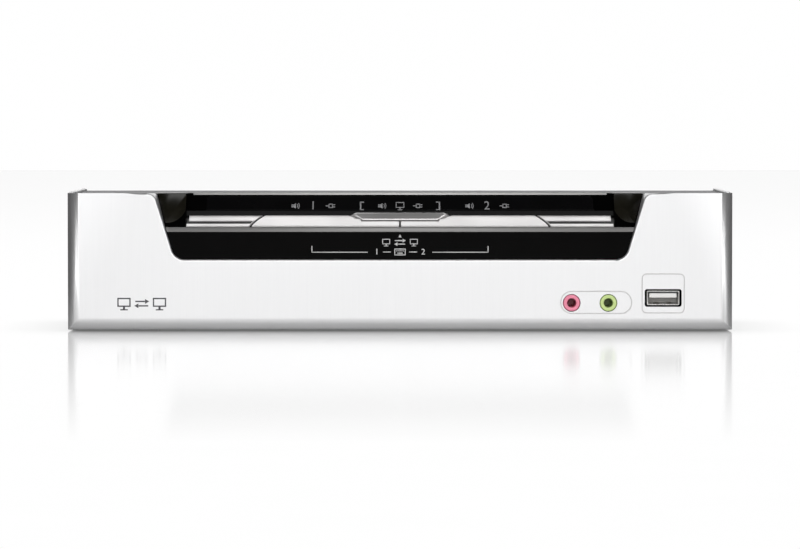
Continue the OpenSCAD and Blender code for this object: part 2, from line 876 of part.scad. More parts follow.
module electrolytic_capacitors() {
    color("midnightblue") for (p = [[114, 8, 4, 11], [103, 8, 4, 11], [-116, -8, 3.2, 8]])
        rod_z(p[0], p[1], p[2], board_top, board_top + p[3]);
}

module inductors() {
    color("#333333") for (p = [[108, -8], [92, -2]])
        translate([p[0], p[1], board_top]) linear_extrude(4) rounded_rect([10, 10], 2);
}

module crystals() {
    color("silver") for (p = [[44, -14], [-46, 4]])
        translate([p[0], p[1], board_top]) linear_extrude(3.5) rounded_rect([11, 4.4], 2.19);
}

// ---------------------------------------------------------------- sockets

// A 3.5 mm jack whose mouth is at y = 0 and faces +Y, with its block down and up from the axis
module jack(nose, body, mouth, bore, down, up) {
    difference() {
        union() {
            rod_y(0, 0, nose[0], -nose[1] - eps, 0);
            block([-body[0] / 2, -nose[1] - body[1], -down], [body[0] / 2, -nose[1], up]);
        }
        rod_y(0, 0, jack_bore_r, -mouth[1] - bore, -mouth[1] + eps);
        translate([0, eps, 0]) rotate([90, 0, 0])
            cylinder(r1 = mouth[0], r2 = jack_bore_r, h = mouth[1] + eps);
    }
}

module front_jack(x) {
    translate([x, front_jack_tip, front_jack_z]) mirror([0, 1, 0])
        jack(front_nose, front_body, front_mouth, front_bore, front_jack_z - board_top, front_nose[0]);
}

module rear_jack(x, z, down, up) {
    translate([x, tips_y, z]) jack(rear_nose, rear_body, rear_mouth, rear_bore, down, up);
}

module front_microphone_jack() {
    color("hotpink") front_jack(microphone_x);
}

module front_speaker_jack() {
    color("yellowgreen") front_jack(speaker_x);
}

module rear_speaker_jacks() {
    color("yellowgreen") for (x = audio_x)
        rear_jack(x, speaker_z, speaker_z - board_top, audio_split_z - speaker_z);
}

module rear_microphone_jacks() {
    color("hotpink") for (x = audio_x)
        rear_jack(x, microphone_z, microphone_z - audio_split_z, audio_top_z - microphone_z);
}

module firmware_port() {
    color("#222222") rear_jack(firmware_x, speaker_z, speaker_z - board_top, 4.3);
}

// A rectangular tube of sheet metal along Y, centred on (x, z)
module metal_tube(x, z, w, h, y0, y1) {
    along_y(y0, y1) translate([x, z]) difference() {
        rounded_rect([w, h], 0.6);
        square([w - 2 * shell_wall, h - 2 * shell_wall], center = true);
    }
}

module front_usb_shell() {
    color("silver") metal_tube(usb_x, usb_z, usb_w, usb_h, usb_front_y, usb_back_y);
}

module front_usb_insulator() {
    inner = [usb_w / 2 - shell_wall - 0.05, usb_h / 2 - shell_wall - 0.05];
    color("white") {
        block([usb_x - tongue_half, usb_front_y + 1, usb_z + 0.05],
              [usb_x + tongue_half, usb_back_y - 2, usb_z + 0.05 + tongue_t]);
        block([usb_x - inner[0], usb_back_y - 2.5, usb_z - inner[1]],
              [usb_x + inner[0], usb_back_y, usb_z + inner[1]]);
    }
}

module front_usb_base() {
    color("#222222") block([usb_x - usb_base_half, usb_base_y, board_top],
                           [usb_x + usb_base_half, usb_back_y, usb_z - usb_h / 2]);
}

// Outline of an HDMI socket, shrunk by g
module hdmi_outline(g) {
    side = [[5.6 - 0.7 * g, -2.8 + g], [7.5 - g, -0.6], [7.5 - g, 2.8 - g]];
    polygon(concat(side, flipped(side)));
}

module hdmi_shell(x) {
    color("silver") along_y(socket_back, socket_tip) translate([x, hdmi_z]) difference() {
        hdmi_outline(0);
        hdmi_outline(shell_wall);
    }
}

module console_hdmi_shell() {
    hdmi_shell(console_hdmi_x);
}

module port_hdmi_shells() {
    for (x = port_hdmi_x) hdmi_shell(x);
}

module hdmi_tongues() {
    color("#222222") for (x = concat([console_hdmi_x], port_hdmi_x)) {
        block([x - 5.5, socket_back + 2, hdmi_z + 0.1], [x + 5.5, socket_tip - 1.5, hdmi_z + 1.1]);
        along_y(socket_back, socket_back + 2.2) translate([x, hdmi_z]) hdmi_outline(shell_wall + 0.05);
    }
}

module usb_b_shells() {
    color("silver") for (x = usb_b_x)
        metal_tube(x, usb_b_z, 2 * usb_b_half[0], 2 * usb_b_half[1], socket_back, socket_tip);
}

// Opening of a USB type B socket: square below, with its two upper corners cut off
module usb_b_mouth() {
    side = [[4.22, -3.89], [4.22, 1.9], [2.3, 3.89]];
    polygon(concat(side, flipped(side)));
}

module usb_b_insulators() {
    color("#222222") for (x = usb_b_x) {
        along_y(socket_back + 2, socket_tip - 0.6) translate([x, usb_b_z]) difference() {
            square(2 * usb_b_half - 2 * [shell_wall + 0.05, shell_wall + 0.05], center = true);
            usb_b_mouth();
        }
        along_y(socket_back, socket_back + 2.2) translate([x, usb_b_z])
            square(2 * usb_b_half - 2 * [shell_wall + 0.05, shell_wall + 0.05], center = true);
        block([x - 2.8, socket_back + 2, usb_b_z - 1.6], [x + 2.8, socket_tip - 1.6, usb_b_z + 1.6]);
    }
}

module keyboard_mouse_usb_shell() {
    middle = board_top + usb_stack_h / 2;
    color("silver") {
        metal_tube(usb_stack_x, middle, usb_a_w, usb_stack_h, socket_back, socket_tip);
        block([usb_stack_x - usb_a_w / 2 + shell_wall - 0.1, socket_back, middle - 1],
              [usb_stack_x + usb_a_w / 2 - shell_wall + 0.1, socket_tip - 0.6, middle + 1]);
    }
}

module peripheral_usb_shell() {
    middle = board_top + usb_single_h / 2;
    color("silver") metal_tube(usb_single_x, middle, usb_a_w, usb_single_h, socket_back, socket_tip);
}

module rear_usb_tongues() {
    half = usb_a_w / 2 - shell_wall - 0.05;
    places = [[usb_stack_x, usb_low_z - 0.35], [usb_stack_x, usb_high_z + 0.4], [usb_single_x, usb_low_z]];
    color("white") for (p = places) {
        block([p[0] - 5.6, socket_back + 2, p[1]], [p[0] + 5.6, socket_tip - 1.5, p[1] + 1.9]);
        block([p[0] - half, socket_back, p[1] - 2.6], [p[0] + half, socket_back + 2.2, p[1] + 2.6]);
    }
}

module power_jack() {
    color("#222222") difference() {
        block([power_x - power_half[0], power_back, power_z - power_half[1]],
              [power_x + power_half[0], tips_y, power_z + power_half[1]]);
        rod_y(power_x, power_z, power_bore_r, power_bore_end, tips_y + eps);
    }
}

module power_jack_pin() {
    color("silver") rod_y(power_x, power_z, power_pin_r, power_bore_end, tips_y - 1);
}

front_panel();
left_side_panel();
right_side_panel();
top_cover();
base_tray();
rear_panel();
rubber_feet();
control_fascia();
icon_window();
left_key_trim();
right_key_trim();
port_1_button();
port_2_button();
mode_button();
port_1_switch_plunger();
port_2_switch_plunger();
mode_switch_plunger();
tact_switches();
control_board();
light_guides();
indicator_leds();
ribbon_cable();
ribbon_connectors();
main_board();
board_standoffs();
board_screws();
control_board_screws();
fascia_screws();
base_screws();
rear_screws();
front_usb_shell();
front_usb_insulator();
front_usb_base();
front_microphone_jack();
front_speaker_jack();
console_hdmi_shell();
port_hdmi_shells();
hdmi_tongues();
usb_b_shells();
usb_b_insulators();
keyboard_mouse_usb_shell();
peripheral_usb_shell();
rear_usb_tongues();
rear_microphone_jacks();
rear_speaker_jacks();
firmware_port();
power_jack();
power_jack_pin();
switch_chips();
heatsink();
electrolytic_capacitors();
inductors();
crystals();
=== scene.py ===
"""Two-port desktop KVM switch: the finished pieces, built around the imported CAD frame.

Lengths are in metres. +X is to the user's right, the front faces -Y, and the feet stand on Z = 0.
"""

import json
import math

import bmesh
import bpy
from bpy.props import FloatProperty, FloatVectorProperty, IntProperty, PointerProperty
from mathutils import Matrix, Vector


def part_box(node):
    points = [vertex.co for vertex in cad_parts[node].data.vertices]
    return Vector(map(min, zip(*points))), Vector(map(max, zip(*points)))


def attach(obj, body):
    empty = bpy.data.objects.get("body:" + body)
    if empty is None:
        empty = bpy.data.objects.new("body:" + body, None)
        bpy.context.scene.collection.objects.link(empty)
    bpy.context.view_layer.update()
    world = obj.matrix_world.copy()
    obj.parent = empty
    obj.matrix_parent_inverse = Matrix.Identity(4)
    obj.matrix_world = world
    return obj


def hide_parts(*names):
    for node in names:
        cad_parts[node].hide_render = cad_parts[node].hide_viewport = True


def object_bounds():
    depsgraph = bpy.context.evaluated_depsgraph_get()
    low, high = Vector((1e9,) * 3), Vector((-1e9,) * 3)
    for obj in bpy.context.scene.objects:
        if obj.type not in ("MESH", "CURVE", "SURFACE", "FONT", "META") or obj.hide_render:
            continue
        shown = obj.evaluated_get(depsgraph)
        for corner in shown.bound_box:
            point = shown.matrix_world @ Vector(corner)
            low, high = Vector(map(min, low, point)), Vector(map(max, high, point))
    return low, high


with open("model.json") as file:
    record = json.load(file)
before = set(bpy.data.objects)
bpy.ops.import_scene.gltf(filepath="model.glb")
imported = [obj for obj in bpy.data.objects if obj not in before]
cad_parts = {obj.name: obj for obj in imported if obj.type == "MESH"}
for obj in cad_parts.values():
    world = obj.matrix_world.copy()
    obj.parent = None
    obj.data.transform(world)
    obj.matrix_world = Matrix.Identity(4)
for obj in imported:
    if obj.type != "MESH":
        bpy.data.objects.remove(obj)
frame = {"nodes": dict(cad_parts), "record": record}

bl_info = {
    "name": "Desktop KVM Switch",
    "version": (1, 0, 0),
    "blender": (4, 5, 0),
    "location": "View3D > Sidebar > KVM",
    "description": "Builds a two-port desktop KVM switch, its finishes and a studio stage",
    "category": "Object",
}

CAD_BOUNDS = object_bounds()
MM = 0.001
HOUSING = "housing"


# ---------------------------------------------------------------- settings

class KvmCaseSizes(bpy.types.PropertyGroup):
    """Sizes of the front panel and its notch"""

    edge_radius: FloatProperty(
        name="Edge radius", description="Radius of the front panel's rounded edges",
        default=5 * MM, unit="LENGTH")
    edge_segments: IntProperty(
        name="Edge segments", description="Steps round each rounded edge", default=12)
    wall: FloatProperty(
        name="Wall", description="Wall thickness of the front panel", default=2 * MM, unit="LENGTH")
    wrap: FloatProperty(
        name="Wrap", description="How far the front panel reaches round the sides",
        default=13 * MM, unit="LENGTH")
    notch_half: FloatProperty(
        name="Notch half width", description="Half width of the notch at its lower edge",
        default=91.3 * MM, unit="LENGTH")
    notch_height: FloatProperty(
        name="Notch height", description="Height of the notch's lower edge",
        default=29.35 * MM, unit="LENGTH")
    notch_lean: FloatProperty(
        name="Notch lean", description="Lean of the notch's sides from the vertical",
        default=math.radians(17.2), subtype="ANGLE")
    notch_radius: FloatProperty(
        name="Notch radius", description="Radius of the notch's lower corners", default=5 * MM, unit="LENGTH")
    flare_radius: FloatProperty(
        name="Flare radius", description="Radius where the notch meets the top edge",
        default=4 * MM, unit="LENGTH")
    lip: FloatProperty(
        name="Notch lip", description="Width of the rounded lip round the notch",
        default=0.9 * MM, unit="LENGTH")
    fine_edge: FloatProperty(
        name="Fine edge", description="Rounding of the other edges of the moulding",
        default=0.25 * MM, unit="LENGTH")
    groove: FloatProperty(
        name="Groove", description="Depth of the engraved outlines round the sockets",
        default=0.3 * MM, unit="LENGTH")
    groove_line: FloatProperty(
        name="Groove line", description="Width of the engraved outlines", default=0.42 * MM, unit="LENGTH")


class KvmDeckSizes(bpy.types.PropertyGroup):
    """Sizes of the icon window and its pictograms"""

    window_slope: FloatProperty(
        name="Window slope", description="Slope of the icon window",
        default=math.radians(40), subtype="ANGLE")
    window_thickness: FloatProperty(
        name="Window thickness", description="Thickness of the icon window", default=1.5 * MM, unit="LENGTH")
    icon_rise: FloatProperty(
        name="Icon rise", description="Middle of the icons, from the window's lower edge",
        default=2.5 * MM, unit="LENGTH")
    icon_size: FloatProperty(
        name="Icon size", description="Width of one icon", default=3.5 * MM, unit="LENGTH")
    icon_stretch: FloatProperty(
        name="Icon stretch", description="How much taller the icons are printed, to look right on the slope",
        default=1.5)
    print_thickness: FloatProperty(
        name="Print thickness", description="How far printed marks stand out",
        default=0.03 * MM, unit="LENGTH")


class KvmStageSettings(bpy.types.PropertyGroup):
    """Camera and studio lights"""

    eye_height: FloatProperty(
        name="Eye height", description="Height of the camera above the table", default=0.0916, unit="LENGTH")
    eye_distance: FloatProperty(
        name="Eye distance", description="Distance of the camera from the front face",
        default=1.7, unit="LENGTH")
    lens: FloatProperty(
        name="Lens", description="Focal length", default=188.9, unit="CAMERA")
    tilt: FloatProperty(
        name="Tilt", description="How far the camera looks down",
        default=math.radians(2.303), subtype="ANGLE")
    key_power: FloatProperty(
        name="Key light", description="Power of the large light behind the camera",
        default=93.0, unit="POWER")
    nose_power: FloatProperty(
        name="Nose light", description="Power of the narrow light above the front", default=6.0, unit="POWER")
    deck_power: FloatProperty(
        name="Deck light", description="Power of the light behind, which the keys mirror",
        default=11.0, unit="POWER")
    rear_power: FloatProperty(
        name="Rear light", description="Power of the light behind, which shows the sockets",
        default=6.0, unit="POWER")
    room: FloatProperty(
        name="Room light", description="Brightness of the studio's walls", default=0.01)
    mirror: FloatProperty(
        name="Floor mirror", description="How clearly the floor mirrors the object", default=0.58)
    mirror_reach: FloatProperty(
        name="Mirror reach", description="Distance in front of the object at which the mirror image has faded",
        default=0.56, unit="LENGTH")
    contact_reach: FloatProperty(
        name="Contact reach", description="How far the soft shadow at the object's foot spreads",
        default=0.035, unit="LENGTH")
    bounce: FloatProperty(
        name="Bounce", description="Extra light that the floor throws up along the object's width",
        default=0.3)
    floor_color: FloatVectorProperty(
        name="Floor", description="Colour that the floor throws back on the object",
        default=(0.7, 0.7, 0.7), subtype="COLOR")


class KvmSettings(bpy.types.PropertyGroup):
    """All settings of the switch"""

    case: PointerProperty(type=KvmCaseSizes)
    deck: PointerProperty(type=KvmDeckSizes)
    stage: PointerProperty(type=KvmStageSettings)


# ---------------------------------------------------------------- finishes

# Each finish: base colour, roughness, and what sets it apart. grain is the size of its fine texture,
# stretch its direction, mottle its change of colour, gloss_spread its change of roughness, depth its relief.
FINISHES = {
    "satin_silver_plastic": dict(
        color=(0.84, 0.84, 0.845), rough=0.44, metal=0.88, grain=0.6 * MM, stretch=(1.0, 1.0, 0.02),
        mottle=0.008, gloss_spread=0.03, depth=0.0025 * MM),
    "silver_key_plastic": dict(
        color=(0.80, 0.785, 0.78), rough=0.34, metal=0.8, grain=0.25 * MM, stretch=(0.05, 1.0, 1.0),
        mottle=0.03, gloss_spread=0.06, depth=0.003 * MM),
    "black_gloss_plastic": dict(
        color=(0.0014, 0.0013, 0.0013), rough=0.13, specular=0.07, grain=9 * MM, mottle=0.2,
        gloss_spread=0.04, depth=0.001 * MM),
    "charcoal_steel": dict(
        color=(0.085, 0.086, 0.090), rough=0.48, metal=0.0, grain=0.35 * MM, mottle=0.12, gloss_spread=0.05,
        depth=0.012 * MM),
    "galvanised_steel": dict(
        color=(0.52, 0.53, 0.54), rough=0.34, metal=1.0, grain=5 * MM, mottle=0.22, gloss_spread=0.16,
        depth=0.01 * MM, pattern="spangle"),
    "rubber": dict(
        color=(0.022, 0.022, 0.022), rough=0.82, grain=0.5 * MM, mottle=0.25, gloss_spread=0.1,
        depth=0.06 * MM),
    "smoked_acrylic": dict(
        color=(0.0040, 0.0039, 0.0042), rough=0.07, specular=0.08, grain=14 * MM, mottle=0.15,
        gloss_spread=0.03, depth=0.0005 * MM),
    "light_guide": dict(
        color=(0.80, 0.84, 0.86), rough=0.22, transmission=0.85, grain=2 * MM, mottle=0.02,
        gloss_spread=0.05, depth=0.004 * MM),
    "switch_plastic": dict(
        color=(0.03, 0.03, 0.03), rough=0.5, grain=0.4 * MM, mottle=0.1, gloss_spread=0.1, depth=0.02 * MM),
    "plunger_plastic": dict(
        color=(0.70, 0.67, 0.58), rough=0.42, grain=0.5 * MM, mottle=0.04, gloss_spread=0.06,
        depth=0.01 * MM),
    "circuit_board": dict(
        color=(0.012, 0.11, 0.045), rough=0.28, coat=0.5, coat_rough=0.1, grain=2.4 * MM, mottle=0.45,
        gloss_spread=0.1, depth=0.03 * MM, pattern="tracks"),
    "led": dict(
        color=(0.85, 0.82, 0.62), rough=0.2, grain=1 * MM, mottle=0.05, gloss_spread=0.05,
        depth=0.004 * MM),
    "ribbon": dict(
        color=(0.42, 0.43, 0.45), rough=0.45, grain=1.27 * MM, mottle=0.3, gloss_spread=0.05,
        depth=0.12 * MM, pattern="cores"),
    "connector_plastic": dict(
        color=(0.76, 0.72, 0.62), rough=0.40, grain=0.6 * MM, mottle=0.05, gloss_spread=0.08,
        depth=0.01 * MM),
    "brass": dict(
        color=(0.70, 0.50, 0.22), rough=0.24, metal=1.0, grain=0.3 * MM, stretch=(1.0, 1.0, 0.1),
        mottle=0.08, gloss_spread=0.1, depth=0.004 * MM),
    "zinc_screw": dict(
        color=(0.62, 0.62, 0.60), rough=0.26, metal=1.0, grain=0.3 * MM, mottle=0.1, gloss_spread=0.12,
        depth=0.005 * MM),
    "black_screw": dict(
        color=(0.030, 0.030, 0.032), rough=0.34, metal=0.6, grain=0.3 * MM, mottle=0.2, gloss_spread=0.15,
        depth=0.006 * MM),
    "socket_metal": dict(
        color=(0.70, 0.69, 0.67), rough=0.20, metal=1.0, grain=0.25 * MM, stretch=(1.0, 0.06, 1.0),
        mottle=0.07, gloss_spread=0.12, depth=0.003 * MM),
    "white_insulator": dict(
        color=(0.84, 0.83, 0.81), rough=0.34, grain=0.5 * MM, mottle=0.02, gloss_spread=0.06,
        depth=0.006 * MM),
    "black_insulator": dict(
        color=(0.014, 0.014, 0.014), rough=0.36, grain=0.4 * MM, mottle=0.2, gloss_spread=0.12,
        depth=0.015 * MM),
    "pink_jack": dict(
        color=(0.90, 0.27, 0.39), rough=0.27, coat=0.3, coat_rough=0.1, grain=0.5 * MM, mottle=0.05,
        gloss_spread=0.06, depth=0.006 * MM),
    "green_jack": dict(
        color=(0.60, 0.76, 0.29), rough=0.27, coat=0.3, coat_rough=0.1, grain=0.5 * MM, mottle=0.05,
        gloss_spread=0.06, depth=0.006 * MM),
    "chip": dict(
        color=(0.018, 0.018, 0.019), rough=0.55, grain=0.3 * MM, mottle=0.15, gloss_spread=0.1,
        depth=0.02 * MM),
    "aluminium": dict(
        color=(0.68, 0.69, 0.71), rough=0.32, metal=1.0, grain=0.3 * MM, stretch=(1.0, 0.05, 1.0),
        mottle=0.06, gloss_spread=0.12, depth=0.006 * MM),
    "capacitor": dict(
        color=(0.020, 0.026, 0.075), rough=0.28, coat=0.4, coat_rough=0.1, grain=1.5 * MM,
        stretch=(1.0, 1.0, 0.1), mottle=0.1, gloss_spread=0.06, depth=0.01 * MM),
    "ferrite": dict(
        color=(0.045, 0.043, 0.042), rough=0.62, grain=0.3 * MM, mottle=0.2, gloss_spread=0.1,
        depth=0.03 * MM),
    "crystal_can": dict(
        color=(0.72, 0.71, 0.68), rough=0.18, metal=1.0, grain=0.4 * MM, mottle=0.05, gloss_spread=0.1,
        depth=0.004 * MM),
}

PRINTS = {
    "dark_print": dict(
        color=(0.085, 0.085, 0.09), rough=0.45, grain=0.3 * MM, mottle=0.08, gloss_spread=0.08,
        depth=0.002 * MM),
    # grey of the painted shade laid in the engraved outlines round the front sockets
    "groove_shade_grey": dict(
        color=(0.70, 0.69, 0.69), rough=0.5, grain=0.3 * MM, mottle=0.06, gloss_spread=0.08,
        depth=0.002 * MM),
    "grey_print": dict(
        color=(0.30, 0.30, 0.31), rough=0.45, grain=0.3 * MM, mottle=0.06, gloss_spread=0.08,
        depth=0.002 * MM),
    "white_print": dict(
        color=(0.62, 0.62, 0.62), rough=0.5, grain=0.3 * MM, mottle=0.05, gloss_spread=0.08,
        depth=0.002 * MM),
    # grey of the painted highlight along the fascia's rounded nose
    "nose_highlight_grey": dict(
        color=(0.30, 0.295, 0.29), rough=0.5, metal=0.15, grain=0.3 * MM, stretch=(0.05, 1.0, 1.0),
        mottle=0.05, gloss_spread=0.05, depth=0.002 * MM),
    # pale grey of the painted highlight along the fascia's crest above the icon window
    "crest_highlight_pale": dict(
        color=(0.74, 0.73, 0.72), rough=0.5, metal=0.15, grain=0.3 * MM, stretch=(0.05, 1.0, 1.0),
        mottle=0.05, gloss_spread=0.05, depth=0.002 * MM),
    "smoke_black": dict(
        color=(0.010, 0.009, 0.006), rough=0.3, specular=0.15, grain=3 * MM, mottle=0.25, gloss_spread=0.08,
        depth=0.001 * MM),
    "gold_contact": dict(
        color=(0.83, 0.60, 0.24), rough=0.22, metal=1.0, grain=0.3 * MM, stretch=(1.0, 0.1, 1.0),
        mottle=0.06, gloss_spread=0.1, depth=0.003 * MM),
}


class Nodes:
    """A material's node tree, with short calls for the nodes that the finishes share"""

    def __init__(self, material):
        material.use_nodes = True
        self.tree = material.node_tree
        self.tree.nodes.clear()
        self.output = self.add("ShaderNodeOutputMaterial")

    def add(self, kind, **settings):
        node = self.tree.nodes.new(kind)
        for name, value in settings.items():
            setattr(node, name, value)
        return node

    def link(self, source, target):
        self.tree.links.new(source, target)

    def object_space(self, stretch):
        """Object coordinates, squeezed by stretch"""
        place = self.add("ShaderNodeTexCoord")
        mapping = self.add("ShaderNodeMapping")
        mapping.inputs["Scale"].default_value = stretch
        self.link(place.outputs["Object"], mapping.inputs["Vector"])
        return mapping.outputs["Vector"]

    def noise(self, vector, size, detail=4.0):
        texture = self.add("ShaderNodeTexNoise")
        texture.inputs["Scale"].default_value = 1.0 / size
        texture.inputs["Detail"].default_value = detail
        self.link(vector, texture.inputs["Vector"])
        return texture.outputs["Fac"]

    def spread(self, value, low, high):
        """Maps 0.3..0.7, where noise mostly lies, to low..high"""
        ranged = self.add("ShaderNodeMapRange")
        ranged.inputs["From Min"].default_value = 0.3
        ranged.inputs["From Max"].default_value = 0.7
        ranged.inputs["To Min"].default_value = low
        ranged.inputs["To Max"].default_value = high
        self.link(value, ranged.inputs["Value"])
        return ranged.outputs["Result"]

    def blend(self, factor, first, second):
        mix = self.add("ShaderNodeMix", data_type="RGBA")
        mix.inputs[6].default_value = (*first, 1.0)
        mix.inputs[7].default_value = (*second, 1.0)
        self.link(factor, mix.inputs[0])
        return mix.outputs[2]


def pattern_value(nodes, vector, pattern, size):
    """The value, from 0 to 1, that drives a finish's colour and relief"""
    if pattern == "spangle":
        cells = nodes.add("ShaderNodeTexVoronoi", feature="F1")
        cells.inputs["Scale"].default_value = 1.0 / size
        nodes.link(vector, cells.inputs["Vector"])
        split = nodes.add("ShaderNodeSeparateColor")
        nodes.link(cells.outputs["Color"], split.inputs["Color"])
        return split.outputs["Red"]
    if pattern == "cores":
        waves = nodes.add("ShaderNodeTexWave", wave_type="BANDS", bands_direction="X")
        waves.inputs["Scale"].default_value = 0.314 / size
        nodes.link(vector, waves.inputs["Vector"])
        return waves.outputs["Fac"]
    if pattern == "tracks":
        tracks = nodes.add("ShaderNodeTexBrick", offset=0.37, squash=0.6, squash_frequency=3)
        tracks.inputs["Scale"].default_value = 0.25 / size
        tracks.inputs["Mortar Size"].default_value = 0.022
        tracks.inputs["Color1"].default_value = (0.4, 0.4, 0.4, 1.0)
        tracks.inputs["Color2"].default_value = (0.6, 0.6, 0.6, 1.0)
        tracks.inputs["Mortar"].default_value = (1.0, 1.0, 1.0, 1.0)
        nodes.link(vector, tracks.inputs["Vector"])
        return tracks.outputs["Color"]
    return nodes.noise(vector, size)


def make_finish(name, color, rough, grain, mottle, gloss_spread, depth, stretch=(1.0, 1.0, 1.0),
                metal=0.0, specular=0.5, coat=0.0, coat_rough=0.03, transmission=0.0, pattern="noise"):
    """One procedural material: mottled colour, uneven gloss and a fine relief"""
    material = bpy.data.materials.new(name)
    nodes = Nodes(material)
    shader = nodes.add("ShaderNodeBsdfPrincipled")
    shader.inputs["Metallic"].default_value = metal
    shader.inputs["Specular IOR Level"].default_value = specular
    shader.inputs["Coat Weight"].default_value = coat
    shader.inputs["Coat Roughness"].default_value = coat_rough
    shader.inputs["Transmission Weight"].default_value = transmission
    vector = nodes.object_space(stretch)
    value = pattern_value(nodes, vector, pattern, grain)
    darker = [max(0.0, c * (1.0 - mottle)) for c in color]
    lighter = [min(1.0, c * (1.0 + mottle)) for c in color]
    tint = nodes.blend(nodes.spread(value, 0.0, 1.0), darker, lighter)
    nodes.link(tint, shader.inputs["Base Color"])
    smudge = nodes.noise(nodes.object_space((1.0, 1.0, 1.0)), 18 * MM, detail=3.0)
    roughness = nodes.spread(smudge, rough - gloss_spread / 2, rough + gloss_spread / 2)
    nodes.link(roughness, shader.inputs["Roughness"])
    relief = nodes.add("ShaderNodeBump")
    relief.inputs["Strength"].default_value = 1.0
    relief.inputs["Distance"].default_value = depth
    nodes.link(value, relief.inputs["Height"])
    nodes.link(relief.outputs["Normal"], shader.inputs["Normal"])
    nodes.link(shader.outputs["BSDF"], nodes.output.inputs["Surface"])
    return material


def finish(name):
    """The finish of that name, made the first time it is asked for"""
    title = name + "_finish"
    if title not in bpy.data.materials:
        make_finish(title, **(FINISHES.get(name) or PRINTS[name]))
    return bpy.data.materials[title]


SLOT_OF = {row["node"]: row["material_slot"] for row in frame["record"]["subparts"]}
BODY_OF = {node: body for body, nodes in frame["record"]["behaviour"]["bodies"].items() for node in nodes}


# ---------------------------------------------------------------- mesh helpers

def block(low, high):
    """A box from one corner to the other"""
    low, high = Vector(low), Vector(high)
    bm = bmesh.new()
    place = Matrix.Translation((low + high) / 2) @ Matrix.Diagonal((*(high - low), 1.0))
    bmesh.ops.create_cube(bm, size=1.0, matrix=place)
    return bm


def rod_y(x, z, radius, y0, y1, segments=64):
    """A cylinder along Y"""
    bm = bmesh.new()
    place = Matrix.Translation((x, (y0 + y1) / 2, z)) @ Matrix.Rotation(math.pi / 2, 4, "X")
    bmesh.ops.create_cone(bm, cap_ends=True, segments=segments, radius1=radius, radius2=radius,
                          depth=y1 - y0, matrix=place)
    return bm


def outline_face(bm, points):
    """One face with the given corners, in order"""
    corners = [bmesh.ops.create_vert(bm, co=point)["vert"][0] for point in points]
    for number, corner in enumerate(corners):
        bmesh.ops.contextual_create(bm, geom=[corners[number - 1], corner])
    bmesh.ops.contextual_create(bm, geom=list(bm.edges))
    return corners


def draw_out(bm, way):
    """Turns the flat faces into a closed solid"""
    drawn = bmesh.ops.extrude_face_region(bm, geom=list(bm.faces))
    moved = [v for v in drawn["geom"] if isinstance(v, bmesh.types.BMVert)]
    bmesh.ops.translate(bm, verts=moved, vec=way)
    bmesh.ops.recalc_face_normals(bm, faces=list(bm.faces))


def prism_x(outline, x0, x1):
    """A Y-Z outline drawn out along X"""
    bm = bmesh.new()
    outline_face(bm, [Vector((x0, y, z)) for y, z in outline])
    draw_out(bm, (x1 - x0, 0.0, 0.0))
    return bm


def prism_y(outline, y0, y1, rounding=(), steps=10):
    """An X-Z outline drawn out along Y. rounding gives (corner number, radius) pairs."""
    bm = bmesh.new()
    points = [Vector((x, y0, z)) for x, z in outline]
    corners = outline_face(bm, points)
    for number, radius in rounding:
        one = points[number - 1] - points[number]
        two = points[(number + 1) % len(points)] - points[number]
        turn = math.pi - one.angle(two)
        bmesh.ops.bevel(bm, geom=[corners[number]], offset=radius * math.tan(turn / 2), offset_type="OFFSET",
                        segments=steps, profile=0.5, affect="VERTICES", material=-1)
    draw_out(bm, (0.0, y1 - y0, 0.0))
    return bm


def ring_prism(centre, size, radius, line, y0, y1):
    """A rounded rectangular ring, size wide and high, with walls line thick, along Y"""
    x, z = centre
    w, h = size[0] / 2, size[1] / 2
    bm = bmesh.new()
    corners = outline_face(bm, [Vector((x + a * w, y0, z + b * h))
                                for a, b in ((-1, -1), (1, -1), (1, 1), (-1, 1))])
    bmesh.ops.bevel(bm, geom=corners, offset=radius, offset_type="OFFSET", segments=8, profile=0.5,
                    affect="VERTICES", material=-1)
    inner = list(bm.faces)
    bmesh.ops.inset_region(bm, faces=inner, thickness=line, use_even_offset=True, use_boundary=True)
    bmesh.ops.delete(bm, geom=inner, context="FACES")
    draw_out(bm, (0.0, y1 - y0, 0.0))
    return bm


def joined(parts):
    """One bmesh that holds several closed bodies"""
    whole = bmesh.new()
    for bm in parts:
        mesh = bpy.data.meshes.new("work_part")
        bm.to_mesh(mesh)
        bm.free()
        whole.from_mesh(mesh)
        bpy.data.meshes.remove(mesh)
    return whole


def as_object(name, bm):
    mesh = bpy.data.meshes.new(name)
    bm.to_mesh(mesh)
    bm.free()
    made = bpy.data.objects.new(name, mesh)
    bpy.context.scene.collection.objects.link(made)
    return made


def combine(base, parts, operation):
    """Unites the parts with the base, or cuts them out of it, and returns the new bmesh"""
    body = as_object("work_base", base)
    for part in parts:
        tool = as_object("work_tool", part)
        change = body.modifiers.new("change", "BOOLEAN")
        change.object = tool
        change.operation = operation
        change.solver = "EXACT"
        evaluated = body.evaluated_get(bpy.context.evaluated_depsgraph_get())
        changed = bpy.data.meshes.new_from_object(evaluated)
        body.modifiers.clear()
        old, body.data = body.data, changed
        bpy.data.meshes.remove(old)
        bpy.data.objects.remove(tool)
    result = bmesh.new()
    result.from_mesh(body.data)
    bpy.data.objects.remove(body)
    bmesh.ops.remove_doubles(result, verts=list(result.verts), dist=0.002 * MM)
    return result


def round_edges(piece, width, segments=2, weighted=False):
    """Live rounding of the sharp edges, with normals that keep flat faces flat"""
    bevel = piece.modifiers.new("Edges", "BEVEL")
    bevel.width = width
    bevel.segments = segments
    bevel.limit_method = "WEIGHT" if weighted else "ANGLE"
    bevel.angle_limit = math.radians(30)
    bevel.use_clamp_overlap = False
    normals = piece.modifiers.new("Normals", "WEIGHTED_NORMAL")
    normals.keep_sharp = True


